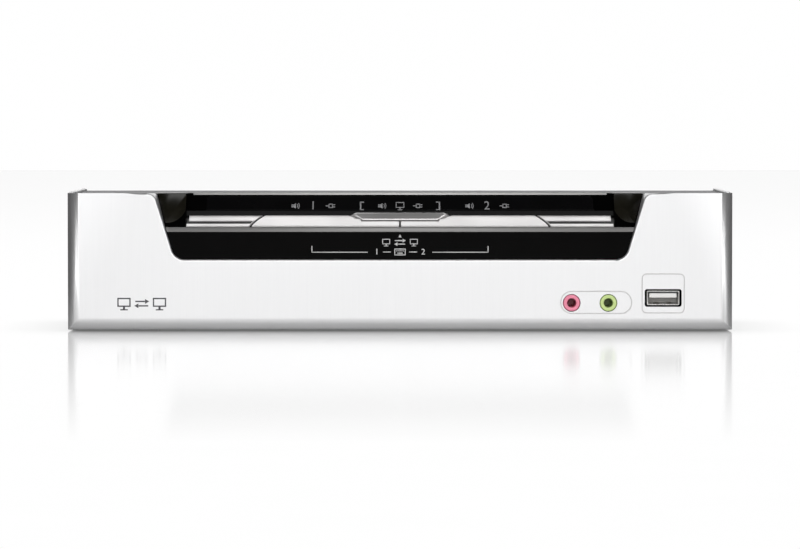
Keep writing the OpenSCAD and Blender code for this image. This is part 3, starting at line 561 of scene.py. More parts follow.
def finished(name, bm, material, body=HOUSING, replaces=(),
             rounding=0.0, segments=2, weighted=False):
    """Turns a bmesh into a piece that rides on a body"""
    for face in bm.faces:
        face.smooth = True
    piece = as_object(name, bm)
    piece.data.materials.append(finish(material))
    if rounding:
        round_edges(piece, rounding, segments, weighted)
    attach(piece, body)
    for node in replaces:
        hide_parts(node)
    return piece


def merged_copy(node):
    """The CAD node's mesh, merged and with its flat faces joined"""
    bm = bmesh.new()
    bm.from_mesh(frame["nodes"][node].data)
    bmesh.ops.remove_doubles(bm, verts=list(bm.verts), dist=0.0005 * MM)
    bmesh.ops.dissolve_limit(bm, angle_limit=math.radians(0.4), verts=list(bm.verts), edges=list(bm.edges),
                             use_dissolve_boundaries=False)
    return bm


def refine(node, rounding, segments=2, name=None, material=None):
    """A rounded piece in place of a CAD node, made from its own shape"""
    return finished(name or node + "_finished", merged_copy(node), material or SLOT_OF[node],
                    body=BODY_OF[node], replaces=(node,),
                    rounding=rounding, segments=segments)


def repaint(node):
    """Gives a CAD node that keeps its shape its finish"""
    slots = frame["nodes"][node].data.materials
    slots.clear()
    slots.append(finish(SLOT_OF[node]))


class Stencil:
    """Flat marks drawn in a plane, u to the right and v upwards, then set on a surface"""

    def __init__(self, thickness):
        self.bm = bmesh.new()
        self.thickness = thickness

    def bar(self, u, v, width, height, turn=0.0):
        place = (Matrix.Translation((u, v, 0.0)) @ Matrix.Rotation(turn, 4, "Z")
                 @ Matrix.Diagonal((width, height, self.thickness, 1.0)))
        bmesh.ops.create_cube(self.bm, size=1.0, matrix=place)

    def outline(self, u, v, width, height, line):
        for side in (-1, 1):
            self.bar(u + side * (width - line) / 2, v, line, height)
            self.bar(u, v + side * (height - line) / 2, width - 2 * line, line)

    def disc(self, u, v, radius, segments=24, turn=0.0):
        place = Matrix.Translation((u, v, 0.0)) @ Matrix.Rotation(turn, 4, "Z")
        bmesh.ops.create_cone(self.bm, cap_ends=True, segments=segments, radius1=radius, radius2=radius,
                              depth=self.thickness, matrix=place)

    def arrow(self, u, v, radius, turn):
        self.disc(u, v, radius, segments=3, turn=turn - math.pi / 2)

    def arc(self, u, v, radius, start, end, line):
        """Part of a ring from the angle start to the angle end"""
        steps = 10
        for step in range(steps):
            angle = start + (end - start) * (step + 0.5) / steps
            length = radius * (end - start) / steps * 1.15
            self.bar(u + radius * math.cos(angle), v + radius * math.sin(angle), line, length, angle)

    def text(self, u, v, height, body):
        """A digit, centred"""
        curve = bpy.data.curves.new("work_text", "FONT")
        curve.body = body
        curve.size = height * 1.4
        curve.extrude = self.thickness / 2
        curve.align_x = "CENTER"
        curve.align_y = "CENTER"
        curve.resolution_u = 4
        holder = bpy.data.objects.new("work_text", curve)
        bpy.context.scene.collection.objects.link(holder)
        evaluated = holder.evaluated_get(bpy.context.evaluated_depsgraph_get())
        mesh = bpy.data.meshes.new_from_object(evaluated)
        mesh.transform(Matrix.Translation((u, v, 0.0)))
        self.bm.from_mesh(mesh)
        bpy.data.objects.remove(holder)
        bpy.data.meshes.remove(mesh)
        bpy.data.curves.remove(curve)

    def set_on(self, name, place, material, stretch=1.0, base=0.0):
        """Moves the marks onto a surface, stretched upwards about base, and makes them a piece"""
        taller = (Matrix.Translation((0.0, base, 0.0)) @ Matrix.Diagonal((1.0, stretch, 1.0, 1.0))
                  @ Matrix.Translation((0.0, -base, 0.0)))
        bmesh.ops.transform(self.bm, matrix=place @ taller, verts=list(self.bm.verts))
        return finished(name, self.bm, material)


def speaker(marks, u, v, size):
    marks.bar(u - 0.36 * size, v, 0.2 * size, 0.34 * size)
    marks.arrow(u - 0.12 * size, v, 0.36 * size, math.pi)
    for radius in (0.26, 0.44):
        marks.arc(u + 0.02 * size, v, radius * size, -0.8, 0.8, 0.09 * size)


def monitor(marks, u, v, size):
    marks.outline(u, v + 0.1 * size, size, 0.68 * size, 0.1 * size)
    marks.bar(u, v - 0.34 * size, 0.16 * size, 0.2 * size)
    marks.bar(u, v - 0.46 * size, 0.56 * size, 0.09 * size)


def plug(marks, u, v, size):
    """A plug on its side, with its lead at the left and two prongs at the right"""
    marks.outline(u, v, 0.5 * size, 0.5 * size, 0.1 * size)
    marks.bar(u - 0.42 * size, v, 0.34 * size, 0.1 * size)
    for side in (-1, 1):
        marks.bar(u + 0.38 * size, v + side * 0.13 * size, 0.28 * size, 0.1 * size)


def keyboard(marks, u, v, size):
    marks.outline(u, v, size, 0.6 * size, 0.08 * size)
    for column in (-0.27, -0.09, 0.09, 0.27):
        marks.bar(u + column * size, v + 0.1 * size, 0.1 * size, 0.1 * size)
    marks.bar(u, v - 0.1 * size, 0.5 * size, 0.09 * size)


def microphone(marks, u, v, size):
    marks.bar(u, v + 0.18 * size, 0.26 * size, 0.44 * size)
    marks.arc(u, v + 0.08 * size, 0.3 * size, math.pi, 2 * math.pi, 0.08 * size)
    marks.bar(u, v - 0.32 * size, 0.08 * size, 0.22 * size)
    marks.bar(u, v - 0.45 * size, 0.4 * size, 0.08 * size)


def swap(marks, u, v, size):
    """Two arrows that point opposite ways"""
    for side in (-1, 1):
        marks.bar(u - side * 0.12 * size, v + side * 0.16 * size, 0.7 * size, 0.1 * size)
        marks.arrow(u + side * 0.34 * size, v + side * 0.16 * size, 0.2 * size, 0.0 if side > 0 else math.pi)


# ---------------------------------------------------------------- case

def notch_x(case, z):
    """Distance of the notch's side from the middle at height z"""
    return case.notch_half + (z - case.notch_height) * math.tan(case.notch_lean)


def rounded_front_block(case, inset):
    """The front panel's outer form, or with an inset its hollow: round at the front and below"""
    low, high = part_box("front_panel")
    spare = 2 * inset
    low = low + Vector((inset, inset, inset))
    high = Vector((high.x - inset, low.y - inset + case.wrap + spare, high.z + spare))
    bm = block(low, high)
    rounded = []
    for edge in bm.edges:
        a, b = (v.co for v in edge.verts)
        at_front = max(a.y, b.y) < low.y + MM
        upright = abs(a.z - b.z) > MM
        below = max(a.z, b.z) < low.z + MM
        if at_front and (upright or below):
            rounded.append(edge)
    bmesh.ops.bevel(bm, geom=rounded, offset=case.edge_radius - inset, offset_type="OFFSET",
                    segments=case.edge_segments, profile=0.5, affect="EDGES", material=-1)
    return bm


def notch_cutter(case, back):
    """Prism of the notch, flared into the top edge"""
    low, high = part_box("front_panel")
    side = [(case.notch_half, case.notch_height), (notch_x(case, high.z), high.z),
            (notch_x(case, high.z) + 12 * MM, high.z), (notch_x(case, high.z) + 12 * MM, high.z + 5 * MM)]
    outline = side + [(-x, z) for x, z in reversed(side)]
    rounding = [(0, case.notch_radius), (7, case.notch_radius),
                (1, case.flare_radius), (6, case.flare_radius)]
    return prism_y(outline, low.y - MM, back, rounding, steps=12)


def notch_cheek(case, side):
    """Wall behind the notch's side, which closes the case beside the fascia"""
    low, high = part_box("front_panel")
    cover_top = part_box("top_cover")[1].z
    foot = case.notch_height + 5 * MM
    knee = cover_top - 7 * MM
    reach = notch_x(case, high.z) + 5 * MM
    thick = 1.6 * MM
    outline = [(notch_x(case, foot) - 2 * MM, foot), (notch_x(case, foot) + thick, foot),
               (notch_x(case, knee) + thick, knee), (reach, cover_top - 3 * MM), (reach, cover_top + 0.2 * MM),
               (notch_x(case, foot) - 2 * MM, cover_top + 0.2 * MM)]
    return prism_y([(side * x, z) for x, z in outline], low.y + case.wall - 0.5 * MM,
                   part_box("control_fascia")[1].y)


def socket_rings():
    """Centre, size and corner radius of the outlines round the two jacks and round the USB socket"""
    low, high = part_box("front_microphone_jack")
    jacks = ((low.x + high.x) / 2 + 9.95 * MM, low.z + 3.5 * MM)
    low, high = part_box("front_usb_shell")
    usb = ((low.x + high.x) / 2, (low.z + high.z) / 2 + 1.85 * MM)
    return ((jacks, (29.2 * MM, 9.4 * MM), 4.65 * MM), (usb, (17.5 * MM, 16.2 * MM), 2 * MM))


def socket_cutters(case):
    """Holes and engraved outlines round the front sockets"""
    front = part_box("front_panel")[0].y
    back = front + case.wall + MM
    cutters = []
    for node in ("front_microphone_jack", "front_speaker_jack"):
        low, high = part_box(node)
        cutters.append(rod_y((low.x + high.x) / 2, low.z + 3.3 * MM, 3.6 * MM, front - MM, back))
    low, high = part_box("front_usb_shell")
    usb_x, usb_z = (low.x + high.x) / 2, (low.z + high.z) / 2
    half = (7.5 * MM, 3.6 * MM)
    opening = [(usb_x + a * half[0], usb_z + b * half[1]) for a, b in ((-1, -1), (1, -1), (1, 1), (-1, 1))]
    cutters.append(prism_y(opening, front - MM, back, [(n, 1.0 * MM) for n in range(4)], steps=6))
    cutters += [ring_prism(centre, size, radius, case.groove_line, front - MM, front + case.groove)
                for centre, size, radius in socket_rings()]
    return cutters


def socket_groove_shade(case):
    """Grey rings at the bottom of the two engraved outlines round the front sockets: painted shade that stands
    in for the shadow in the grooves
    """
    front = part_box("front_panel")[0].y
    gap = 0.02 * MM
    line = case.groove_line - 2 * gap
    return joined([ring_prism(centre, (width - 2 * gap, height - 2 * gap), radius - gap, line,
                              front + 0.08 * MM, front + case.groove + gap)
                   for centre, (width, height), radius in socket_rings()])


def mark_edges(bm, case):
    """Weights for the edge rounding: full on the notch's front rim, fine on the other sharp edges"""
    low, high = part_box("front_panel")
    bmesh.ops.remove_doubles(bm, verts=list(bm.verts), dist=0.02 * MM)
    layer = bm.edges.layers.float.new("bevel_weight_edge")
    fine = case.fine_edge / case.lip
    for edge in bm.edges:
        if len(edge.link_faces) != 2 or edge.calc_face_angle(0.0) < math.radians(30):
            continue
        a, b = (v.co for v in edge.verts)
        on_face = max(a.y, b.y) < low.y + 0.01 * MM
        between = max(abs(a.x), abs(b.x)) < notch_x(case, high.z) + 6 * MM
        on_notch = between and min(a.z, b.z) > case.notch_height - 0.1 * MM
        on_top = min(a.z, b.z) > high.z - 0.01 * MM and abs(a.x - b.x) > MM
        on_corner = min(a.z, b.z) > high.z - 0.01 * MM and min(abs(a.x), abs(b.x)) > high.x - case.edge_radius
        if on_corner and max(a.y, b.y) < low.y + case.edge_radius:
            continue
        if max(a.y, b.y) < low.y + case.groove + 0.05 * MM and not on_notch:
            edge.smooth = False
            continue
        edge[layer] = 1.0 if on_face and on_notch and not on_top else fine


class KVM_OT_front_panel(bpy.types.Operator):
    """Mould the silver front panel: rounded shell, notch, cheeks and socket openings"""

    bl_idname = "kvm.front_panel"
    bl_label = "Front panel"
    bl_options = {"REGISTER", "UNDO"}

    def execute(self, context):
        case = context.scene.kvm.case
        low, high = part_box("front_panel")
        fascia_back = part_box("control_fascia")[1].y
        shell = combine(rounded_front_block(case, 0.0), [rounded_front_block(case, case.wall)], "DIFFERENCE")
        screw_z = (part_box("fascia_screws")[0].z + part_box("fascia_screws")[1].z) / 2
        boss_end = low.y + 4.6 * MM
        bosses = [rod_y(x * MM, screw_z, 3 * MM, low.y + MM, boss_end, 32) for x in (-70, -25, 25, 70)]
        lug_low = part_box("base_tray")[0].z + MM
        lugs = [block((x * MM - 4 * MM, low.y + 11 * MM, lug_low), (x * MM + 4 * MM, high.y, lug_low + 2 * MM))
                for x in (-90, -30, 30, 90)]
        shell = combine(shell, [notch_cheek(case, side) for side in (-1, 1)] + bosses + lugs, "UNION")
        shell = combine(shell, [notch_cutter(case, fascia_back + MM)] + socket_cutters(case), "DIFFERENCE")
        mark_edges(shell, case)
        # grey rings in the grooves round the front sockets: painted shade standing in for the shadow in them
        finished("socket_groove_shade", socket_groove_shade(case), "groove_shade_grey")
        finished("front_panel_moulding", shell, SLOT_OF["front_panel"],
                 replaces=("front_panel",), rounding=case.lip, segments=4, weighted=True)
        return {"FINISHED"}


class KVM_OT_case_panels(bpy.types.Operator):
    """Round the edges of the sheet steel cover, tray and rear panel, the silver sides and the feet"""

    bl_idname = "kvm.case_panels"
    bl_label = "Case panels and feet"
    bl_options = {"REGISTER", "UNDO"}

    def execute(self, context):
        for node in ("left_side_panel", "right_side_panel"):
            refine(node, 0.5 * MM, 4)
        refine("top_cover", 0.3 * MM, 3)
        refine("base_tray", 0.15 * MM, 2)
        refine("rear_panel", 0.12 * MM, 2)
        refine("rubber_feet", 0.3 * MM, 3)
        return {"FINISHED"}


# ---------------------------------------------------------------- control deck

class KVM_OT_control_fascia(bpy.types.Operator):
    """Polish the black fascia and set the smoked icon window in it"""

    bl_idname = "kvm.control_fascia"
    bl_label = "Control fascia and window"
    bl_options = {"REGISTER", "UNDO"}

    def execute(self, context):
        refine("control_fascia", 0.15 * MM, 3)
        refine("icon_window", 0.15 * MM, 2)
        return {"FINISHED"}


def painted_nose_highlight(case):
    """Grey strip along the rounded nose between the band and the key deck: a painted highlight where the
    nose's rounded edge catches the light
    """
    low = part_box("control_fascia")[0]
    radius = 2 * MM
    middle = Vector((low.y + radius, case.notch_height + 11.15 * MM))
    angles = [math.radians(180 - 66 * step / 8) for step in range(9)]
    outer = [(middle.x + (radius + 0.03 * MM) * math.cos(a), middle.y + (radius + 0.03 * MM) * math.sin(a))
             for a in angles]
    inner = [(middle.x + (radius - 0.2 * MM) * math.cos(a), middle.y + (radius - 0.2 * MM) * math.sin(a))
             for a in reversed(angles)]
    bm = prism_x(outer + inner, -1.0, 1.0)
    for vert in bm.verts:
        vert.co.x = math.copysign(notch_x(case, vert.co.z) - 0.3 * MM, vert.co.x)
    return bm


def painted_crest_highlight():
    """Pale strip along the crest above the icon window: a painted highlight where the rounded crest catches
    the light
    """
    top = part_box("control_fascia")[1].z
    proud = 0.03 * MM
    foot = Vector((-24.72 * MM, top - 0.74 * MM))
    outline = [(foot.x - proud, foot.y), (foot.x + 1.1 * MM, top + proud), (foot.x + 1.5 * MM, top + proud),
               (foot.x + 1.5 * MM, top - 0.2 * MM), (foot.x + 0.3 * MM, foot.y - 0.1 * MM)]
    return prism_x(outline, -84.6 * MM, 84.6 * MM)


def shoulder_disc(case, side):
    """Shallow round relief on the sloping shoulder beside the deck"""
    low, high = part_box("control_fascia")
    slope = math.radians(42)
    foot = Vector((0.0, low.y + 1.19 * MM, case.notch_height + 12.98 * MM))
    bm = bmesh.new()
    place = (Matrix.Translation(foot) @ Matrix.Rotation(slope, 4, "X")
             @ Matrix.Translation((side * 94.5 * MM, 14.4 * MM, 0.0)) @ Matrix.Diagonal((1.0, 1.5, 1.0, 1.0)))
    bmesh.ops.create_cone(bm, cap_ends=True, segments=72, radius1=7.9 * MM, radius2=7.7 * MM,
                          depth=0.24 * MM, matrix=place)
    near, far = 87.3 * MM, high.z - 0.3 * MM
    outline = [(side * near, foot.z), (side * (notch_x(case, foot.z) - 0.5 * MM), foot.z),
               (side * (notch_x(case, far) - 0.5 * MM), far), (side * near, far)]
    return combine(bm, [prism_y(outline, low.y - MM, high.y)], "INTERSECT")


class KVM_OT_fascia_highlights_and_reliefs(bpy.types.Operator):
    """Add the grey painted highlight along the nose, the pale painted highlight along the crest and the
    shoulder reliefs
    """

    bl_idname = "kvm.fascia_trim"
    bl_label = "Fascia lines and reliefs"
    bl_options = {"REGISTER", "UNDO"}

    def execute(self, context):
        kvm = context.scene.kvm
        # grey strip on the nose: a painted highlight on its rounded edge
        finished("painted_nose_highlight", painted_nose_highlight(kvm.case), "nose_highlight_grey")
        # pale strip on the crest: a painted highlight on its rounded edge
        finished("painted_crest_highlight", painted_crest_highlight(), "crest_highlight_pale")
        for side, name in ((-1, "left_shoulder_relief"), (1, "right_shoulder_relief")):
            finished(name, shoulder_disc(kvm.case, side), "smoke_black")
        return {"FINISHED"}


class KVM_OT_keys(bpy.types.Operator):
    """Finish the three silver keys, their plungers and the fixed trims beside them"""

    bl_idname = "kvm.keys"
    bl_label = "Keys and trims"
    bl_options = {"REGISTER", "UNDO"}

    def execute(self, context):
        for node in ("port_1_button", "port_2_button", "mode_button"):
            refine(node, 0.35 * MM, 3)
        for node in ("left_key_trim", "right_key_trim"):
            refine(node, 0.2 * MM, 3)
        for node in ("port_1_switch_plunger", "port_2_switch_plunger", "mode_switch_plunger"):
            refine(node, 0.2 * MM, 2)
        return {"FINISHED"}


def window_plane(deck):
    """Matrix from the stencil plane to the window's face, with its origin at the lower edge's middle"""
    low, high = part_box("icon_window")
    rise = high.z - low.z - deck.window_thickness * math.cos(deck.window_slope)
    return Matrix.Translation((0.0, low.y, high.z - rise)) @ Matrix.Rotation(deck.window_slope, 4, "X")


def upright_plane(y, facing_back=False):
    """Matrix from the stencil plane to an upright face at y"""
    turn = Matrix.Rotation(math.pi, 4, "Z") if facing_back else Matrix.Identity(4)
    return Matrix.Translation((0.0, y, 0.0)) @ turn @ Matrix.Rotation(math.pi / 2, 4, "X")


class KVM_OT_deck_marks(bpy.types.Operator):
    """Print the pictograms in the icon window and on the black band"""

    bl_idname = "kvm.deck_marks"
    bl_label = "Deck pictograms"
    bl_options = {"REGISTER", "UNDO"}

    def execute(self, context):
        deck = context.scene.kvm.deck
        size = deck.icon_size
        v = deck.icon_rise
        icons = Stencil(deck.print_thickness)
        for digit, middle in (("1", -35.5 * MM), ("2", 35.5 * MM)):
            speaker(icons, middle - 7.2 * MM, v, size)
            icons.text(middle, v, size, digit)
            plug(icons, middle + 7.2 * MM, v, size)
        speaker(icons, -7.35 * MM, v, size)
        monitor(icons, 0.0, v, size)
        plug(icons, 7.35 * MM, v, size)
        for side in (-1, 1):
            edge = side * 16.1 * MM
            icons.bar(edge, v, 0.6 * MM, size)
            for end in (-1, 1):
                icons.bar(edge - side * 0.7 * MM, v + end * (size / 2 - 0.2 * MM), 1.4 * MM, 0.4 * MM)
        icons.set_on("window_pictograms", window_plane(deck), "grey_print", deck.icon_stretch, v)

        band = Stencil(deck.print_thickness)
        base = context.scene.kvm.case.notch_height
        band.arrow(0.0, base + 9.3 * MM, 0.8 * MM, math.pi / 2)
        swap(band, 0.0, base + 6.9 * MM, 4.4 * MM)
        for side in (-1, 1):
            monitor(band, side * 5.6 * MM, base + 6.9 * MM, 3.2 * MM)
            band.bar(side * 24.4 * MM, base + 2.9 * MM, 22.6 * MM, 0.36 * MM)
            band.bar(side * 35.7 * MM, base + 4.1 * MM, 0.36 * MM, 2.7 * MM)
        keyboard(band, 0.0, base + 3.0 * MM, 4.6 * MM)
        for side, digit in ((-1, "1"), (1, "2")):
            band.text(side * 9.4 * MM, base + 3.0 * MM, 2.4 * MM, digit)
            band.bar(side * 5.3 * MM, base + 3.0 * MM, 3.2 * MM, 0.36 * MM)
        band.set_on("band_pictograms", upright_plane(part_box("control_fascia")[0].y), "white_print")
        return {"FINISHED"}


class KVM_OT_face_mark(bpy.types.Operator):
    """Print the plain pictogram at the lower left of the front panel: two screens and a swap sign"""

    bl_idname = "kvm.face_mark"
    bl_label = "Front pictogram"
    bl_options = {"REGISTER", "UNDO"}

    def execute(self, context):
        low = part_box("front_panel")[0]
        marks = Stencil(context.scene.kvm.deck.print_thickness)
        middle = Vector((low.x + 30.3 * MM, low.z + 10.8 * MM))
        for side in (-1, 1):
            monitor(marks, middle.x + side * 7.2 * MM, middle.y, 5.4 * MM)
        swap(marks, middle.x, middle.y, 5.6 * MM)
        marks.set_on("front_pictogram", upright_plane(low.y), "dark_print")
        return {"FINISHED"}


# ---------------------------------------------------------------- sockets

def usb_contacts():
    """Four contacts under the front USB socket's tongue"""
    low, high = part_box("front_usb_shell")
    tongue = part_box("front_usb_insulator")[0]
    middle = (low.x + high.x) / 2
    under = (low.z + high.z) / 2 + 0.22 * MM
    return joined([block((middle + x * MM - 0.5 * MM, tongue.y + 0.8 * MM, under - 0.12 * MM),
                         (middle + x * MM + 0.5 * MM, tongue.y + 8 * MM, under + 0.06 * MM))
                   for x in (-3.5, -1.0, 1.0, 3.5)])


def usb_springs():
    """Two spring leaves in the floor of the front USB shell"""
    low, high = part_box("front_usb_shell")
    middle = (low.x + high.x) / 2
    floor = low.z + 0.32 * MM
    front = low.y + 2.2 * MM
    outline = [(front, floor), (front + 3.2 * MM, floor + 0.75 * MM), (front + 5.5 * MM, floor),
               (front + 5.2 * MM, floor - 0.1 * MM), (front + 3.2 * MM, floor + 0.5 * MM),
               (front + 0.3 * MM, floor - 0.1 * MM)]
    return joined([prism_x(outline, middle + (x - 0.9) * MM, middle + (x + 0.9) * MM) for x in (-2.6, 2.6)])


class KVM_OT_front_sockets(bpy.types.Operator):
    """Finish the two front jacks and the front USB socket"""

    bl_idname = "kvm.front_sockets"
    bl_label = "Front sockets"
    bl_options = {"REGISTER", "UNDO"}

    def execute(self, context):
        for node in ("front_microphone_jack", "front_speaker_jack"):
            refine(node, 0.3 * MM, 4)
        refine("front_usb_shell", 0.12 * MM, 3)
        refine("front_usb_insulator", 0.2 * MM, 3)
        repaint("front_usb_base")
        finished("front_usb_contacts", usb_contacts(), "gold_contact", rounding=0.04 * MM)
        finished("front_usb_springs", usb_springs(), "socket_metal", rounding=0.04 * MM)
        return {"FINISHED"}


class KVM_OT_rear_sockets(bpy.types.Operator):
    """Finish the sockets on the rear panel"""

    bl_idname = "kvm.rear_sockets"
    bl_label = "Rear sockets"
    bl_options = {"REGISTER", "UNDO"}

    def execute(self, context):
        for node in ("rear_microphone_jacks", "rear_speaker_jacks", "firmware_port", "power_jack"):
            refine(node, 0.3 * MM, 3)
        for node in ("console_hdmi_shell", "port_hdmi_shells", "usb_b_shells", "keyboard_mouse_usb_shell",
                     "peripheral_usb_shell"):
            refine(node, 0.12 * MM, 2)
        for node in ("hdmi_tongues", "usb_b_insulators", "rear_usb_tongues"):
            refine(node, 0.12 * MM, 2)
        refine("power_jack_pin", 0.3 * MM, 3)
        return {"FINISHED"}


class KVM_OT_rear_marks(bpy.types.Operator):
    """Print plain numbers and pictograms beside the rear sockets"""

    bl_idname = "kvm.rear_marks"
    bl_label = "Rear pictograms"
    bl_options = {"REGISTER", "UNDO"}

    def execute(self, context):
        marks = Stencil(context.scene.kvm.deck.print_thickness)
        size = 3.6 * MM
        groups = ((-90, 46, "1"), (-22, 46, "2"), (56, 70, None))
        height = 33.2 * MM
        for middle, width, digit in groups:
            u = -middle * MM
            gap = 3.0 if digit else 6.0
            length = width / 2 - gap
            for side in (-1, 1):
                marks.bar(u + side * (gap + length / 2) * MM, height, length * MM, 0.3 * MM)
                marks.bar(u + side * (width / 2 - 0.15) * MM, height - 0.9 * MM, 0.3 * MM, 1.8 * MM)
            if digit:
                marks.text(u, height, 3.2 * MM, digit)
            else:
                monitor(marks, u - 2.6 * MM, height, 3.4 * MM)
                keyboard(marks, u + 2.6 * MM, height, 4.2 * MM)
        for x in (86, -40, -108):
            speaker(marks, (7 - x) * MM, 12.7 * MM, size)
            microphone(marks, (7 - x) * MM, 25.2 * MM, size)
        for x in (66, -4, -72):
            monitor(marks, -x * MM, 20.0 * MM, size)
        for x in (-24, -92, 26):
            plug(marks, -x * MM, 25.0 * MM, size)
        keyboard(marks, -45 * MM, 30.0 * MM, 4.4 * MM)
        swap(marks, -104 * MM, 20.0 * MM, size)
        marks.arc(-121 * MM, 26.0 * MM, 1.7 * MM, 0.0, 2 * math.pi, 0.3 * MM)
        marks.disc(-121 * MM, 26.0 * MM, 0.6 * MM)
        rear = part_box("rear_panel")[1].y
        marks.set_on("rear_pictograms", upright_plane(rear, facing_back=True), "white_print")
        return {"FINISHED"}


# ---------------------------------------------------------------- inside and fasteners

INSIDE = ("front_usb_base", "tact_switches", "control_board", "light_guides", "indicator_leds", "ribbon_cable",
          "ribbon_connectors", "main_board", "board_standoffs", "board_screws", "control_board_screws",
          "fascia_screws", "base_screws", "rear_screws", "switch_chips", "heatsink", "electrolytic_capacitors",
          "inductors", "crystals")


class KVM_OT_inside(bpy.types.Operator):
    """Give the boards, the parts on them and the fasteners their finishes"""

    bl_idname = "kvm.inside"
    bl_label = "Boards and fasteners"
    bl_options = {"REGISTER", "UNDO"}

    def execute(self, context):
        for node in INSIDE:
            repaint(node)
        return {"FINISHED"}


# ---------------------------------------------------------------- stage

def soft_light(name, place, target, size, power, color=(1.0, 1.0, 1.0)):
    lamp = bpy.data.lights.new(name, "AREA")
    lamp.shape = "RECTANGLE"
    lamp.size, lamp.size_y = size
    lamp.energy = power
    lamp.color = color
    holder = bpy.data.objects.new(name, lamp)
    holder.location = place
    holder.rotation_euler = (Vector(target) - Vector(place)).to_track_quat("-Z", "Y").to_euler()
    holder.visible_camera = False
    bpy.context.scene.collection.objects.link(holder)
    return holder


def stage_floor(settings):
    """Bright floor with a fading mirror image and a soft contact shadow; to other rays it is grey, with a
    glowing strip in front of the object that throws extra light up on its lower edge
    """
    front = CAD_BOUNDS[0].y
    bm = bmesh.new()
    bmesh.ops.create_circle(bm, cap_ends=True, segments=96, radius=9.0)
    floor = as_object("studio_floor", bm)
    material = bpy.data.materials.new("studio_floor")
    nodes = Nodes(material)
    path = nodes.add("ShaderNodeLightPath")
    place = nodes.object_space((1.0, 1.0, 1.0))
    grain = nodes.noise(place, 40 * MM)
    paper = nodes.add("ShaderNodeEmission")
    nodes.link(nodes.blend(nodes.spread(grain, 0.0, 1.0), (0.995, 0.995, 0.995), (1.0, 1.0, 1.0)),
               paper.inputs["Color"])
    contact = nodes.add("ShaderNodeAmbientOcclusion", samples=8)
    contact.inputs["Distance"].default_value = settings.contact_reach
    shade = nodes.add("ShaderNodeMapRange")
    shade.inputs["To Min"].default_value = 0.35
    nodes.link(contact.outputs["AO"], shade.inputs["Value"])
    nodes.link(shade.outputs["Result"], paper.inputs["Strength"])
    mirror = nodes.add("ShaderNodeBsdfGlossy")
    mirror.inputs["Roughness"].default_value = 0.1
    mirror.inputs["Color"].default_value = (1.0, 1.0, 1.0, 1.0)
    along = nodes.add("ShaderNodeSeparateXYZ")
    nodes.link(place, along.inputs["Vector"])
    fade = nodes.add("ShaderNodeMapRange")
    fade.inputs["From Min"].default_value = front - settings.mirror_reach
    fade.inputs["From Max"].default_value = front
    fade.inputs["To Max"].default_value = settings.mirror
    nodes.link(along.outputs["Y"], fade.inputs["Value"])
    seen = nodes.add("ShaderNodeMixShader")
    nodes.link(fade.outputs["Result"], seen.inputs["Fac"])
    nodes.link(paper.outputs["Emission"], seen.inputs[1])
    nodes.link(mirror.outputs["BSDF"], seen.inputs[2])
    dull = nodes.add("ShaderNodeBsdfDiffuse")
    dull.inputs["Color"].default_value = (*settings.floor_color, 1.0)
    aside = nodes.add("ShaderNodeMath", operation="ABSOLUTE")
    nodes.link(along.outputs["X"], aside.inputs[0])
    reach = nodes.add("ShaderNodeMapRange")
    reach.inputs["From Min"].default_value = CAD_BOUNDS[1].x
    reach.inputs["From Max"].default_value = 1.6 * CAD_BOUNDS[1].x
    reach.inputs["To Min"].default_value = settings.bounce
    reach.inputs["To Max"].default_value = 0.0
    nodes.link(aside.outputs["Value"], reach.inputs["Value"])
    ahead = nodes.add("ShaderNodeMapRange")
    ahead.inputs["From Min"].default_value = front - 8 * MM
    ahead.inputs["From Max"].default_value = front
    ahead.inputs["To Min"].default_value = 1.0
    ahead.inputs["To Max"].default_value = 0.0
    nodes.link(along.outputs["Y"], ahead.inputs["Value"])
    strength = nodes.add("ShaderNodeMath", operation="MULTIPLY")
    nodes.link(reach.outputs["Result"], strength.inputs[0])
    nodes.link(ahead.outputs["Result"], strength.inputs[1])
    # glowing strip of floor in front of the object, which lights the object's lower edge though it is no lamp
    bounce = nodes.add("ShaderNodeEmission")
    nodes.link(strength.outputs["Value"], bounce.inputs["Strength"])
    thrown = nodes.add("ShaderNodeAddShader")
    nodes.link(dull.outputs["BSDF"], thrown.inputs[0])
    nodes.link(bounce.outputs["Emission"], thrown.inputs[1])
    both = nodes.add("ShaderNodeMixShader")
    nodes.link(path.outputs["Is Camera Ray"], both.inputs["Fac"])
    nodes.link(thrown.outputs["Shader"], both.inputs[1])
    nodes.link(seen.outputs["Shader"], both.inputs[2])
    nodes.link(both.outputs["Shader"], nodes.output.inputs["Surface"])
    floor.data.materials.append(material)


def stage_backdrop():
    """White card far behind the object, just wide enough for the floor to mirror"""
    backdrop = as_object("studio_backdrop", block((-0.95, 4.2, 0.0), (0.95, 4.25, 0.7)))
    material = bpy.data.materials.new("studio_backdrop")
    nodes = Nodes(material)
    card = nodes.add("ShaderNodeEmission")
    grain = nodes.noise(nodes.object_space((1.0, 1.0, 1.0)), 0.3)
    nodes.link(nodes.blend(nodes.spread(grain, 0.0, 1.0), (0.997, 0.997, 0.997), (1.0, 1.0, 1.0)),
               card.inputs["Color"])
    nodes.link(card.outputs["Emission"], nodes.output.inputs["Surface"])
    backdrop.data.materials.append(material)


def studio_room(settings):
    """White behind the object, dim walls all round it"""
    world = bpy.data.worlds.new("studio")
    bpy.context.scene.world = world
    world.use_nodes = True
    tree = world.node_tree
    tree.nodes.clear()
    output = tree.nodes.new("ShaderNodeOutputWorld")
    path = tree.nodes.new("ShaderNodeLightPath")
    mix = tree.nodes.new("ShaderNodeMixShader")
    walls = tree.nodes.new("ShaderNodeBackground")
    walls.inputs["Strength"].default_value = settings.room
    backdrop = tree.nodes.new("ShaderNodeBackground")
    backdrop.inputs["Color"].default_value = (1.0, 1.0, 1.0, 1.0)
    backdrop.inputs["Strength"].default_value = 1.0
    tree.links.new(path.outputs["Is Camera Ray"], mix.inputs["Fac"])
    tree.links.new(walls.outputs["Background"], mix.inputs[1])
    tree.links.new(backdrop.outputs["Background"], mix.inputs[2])
    tree.links.new(mix.outputs["Shader"], output.inputs["Surface"])


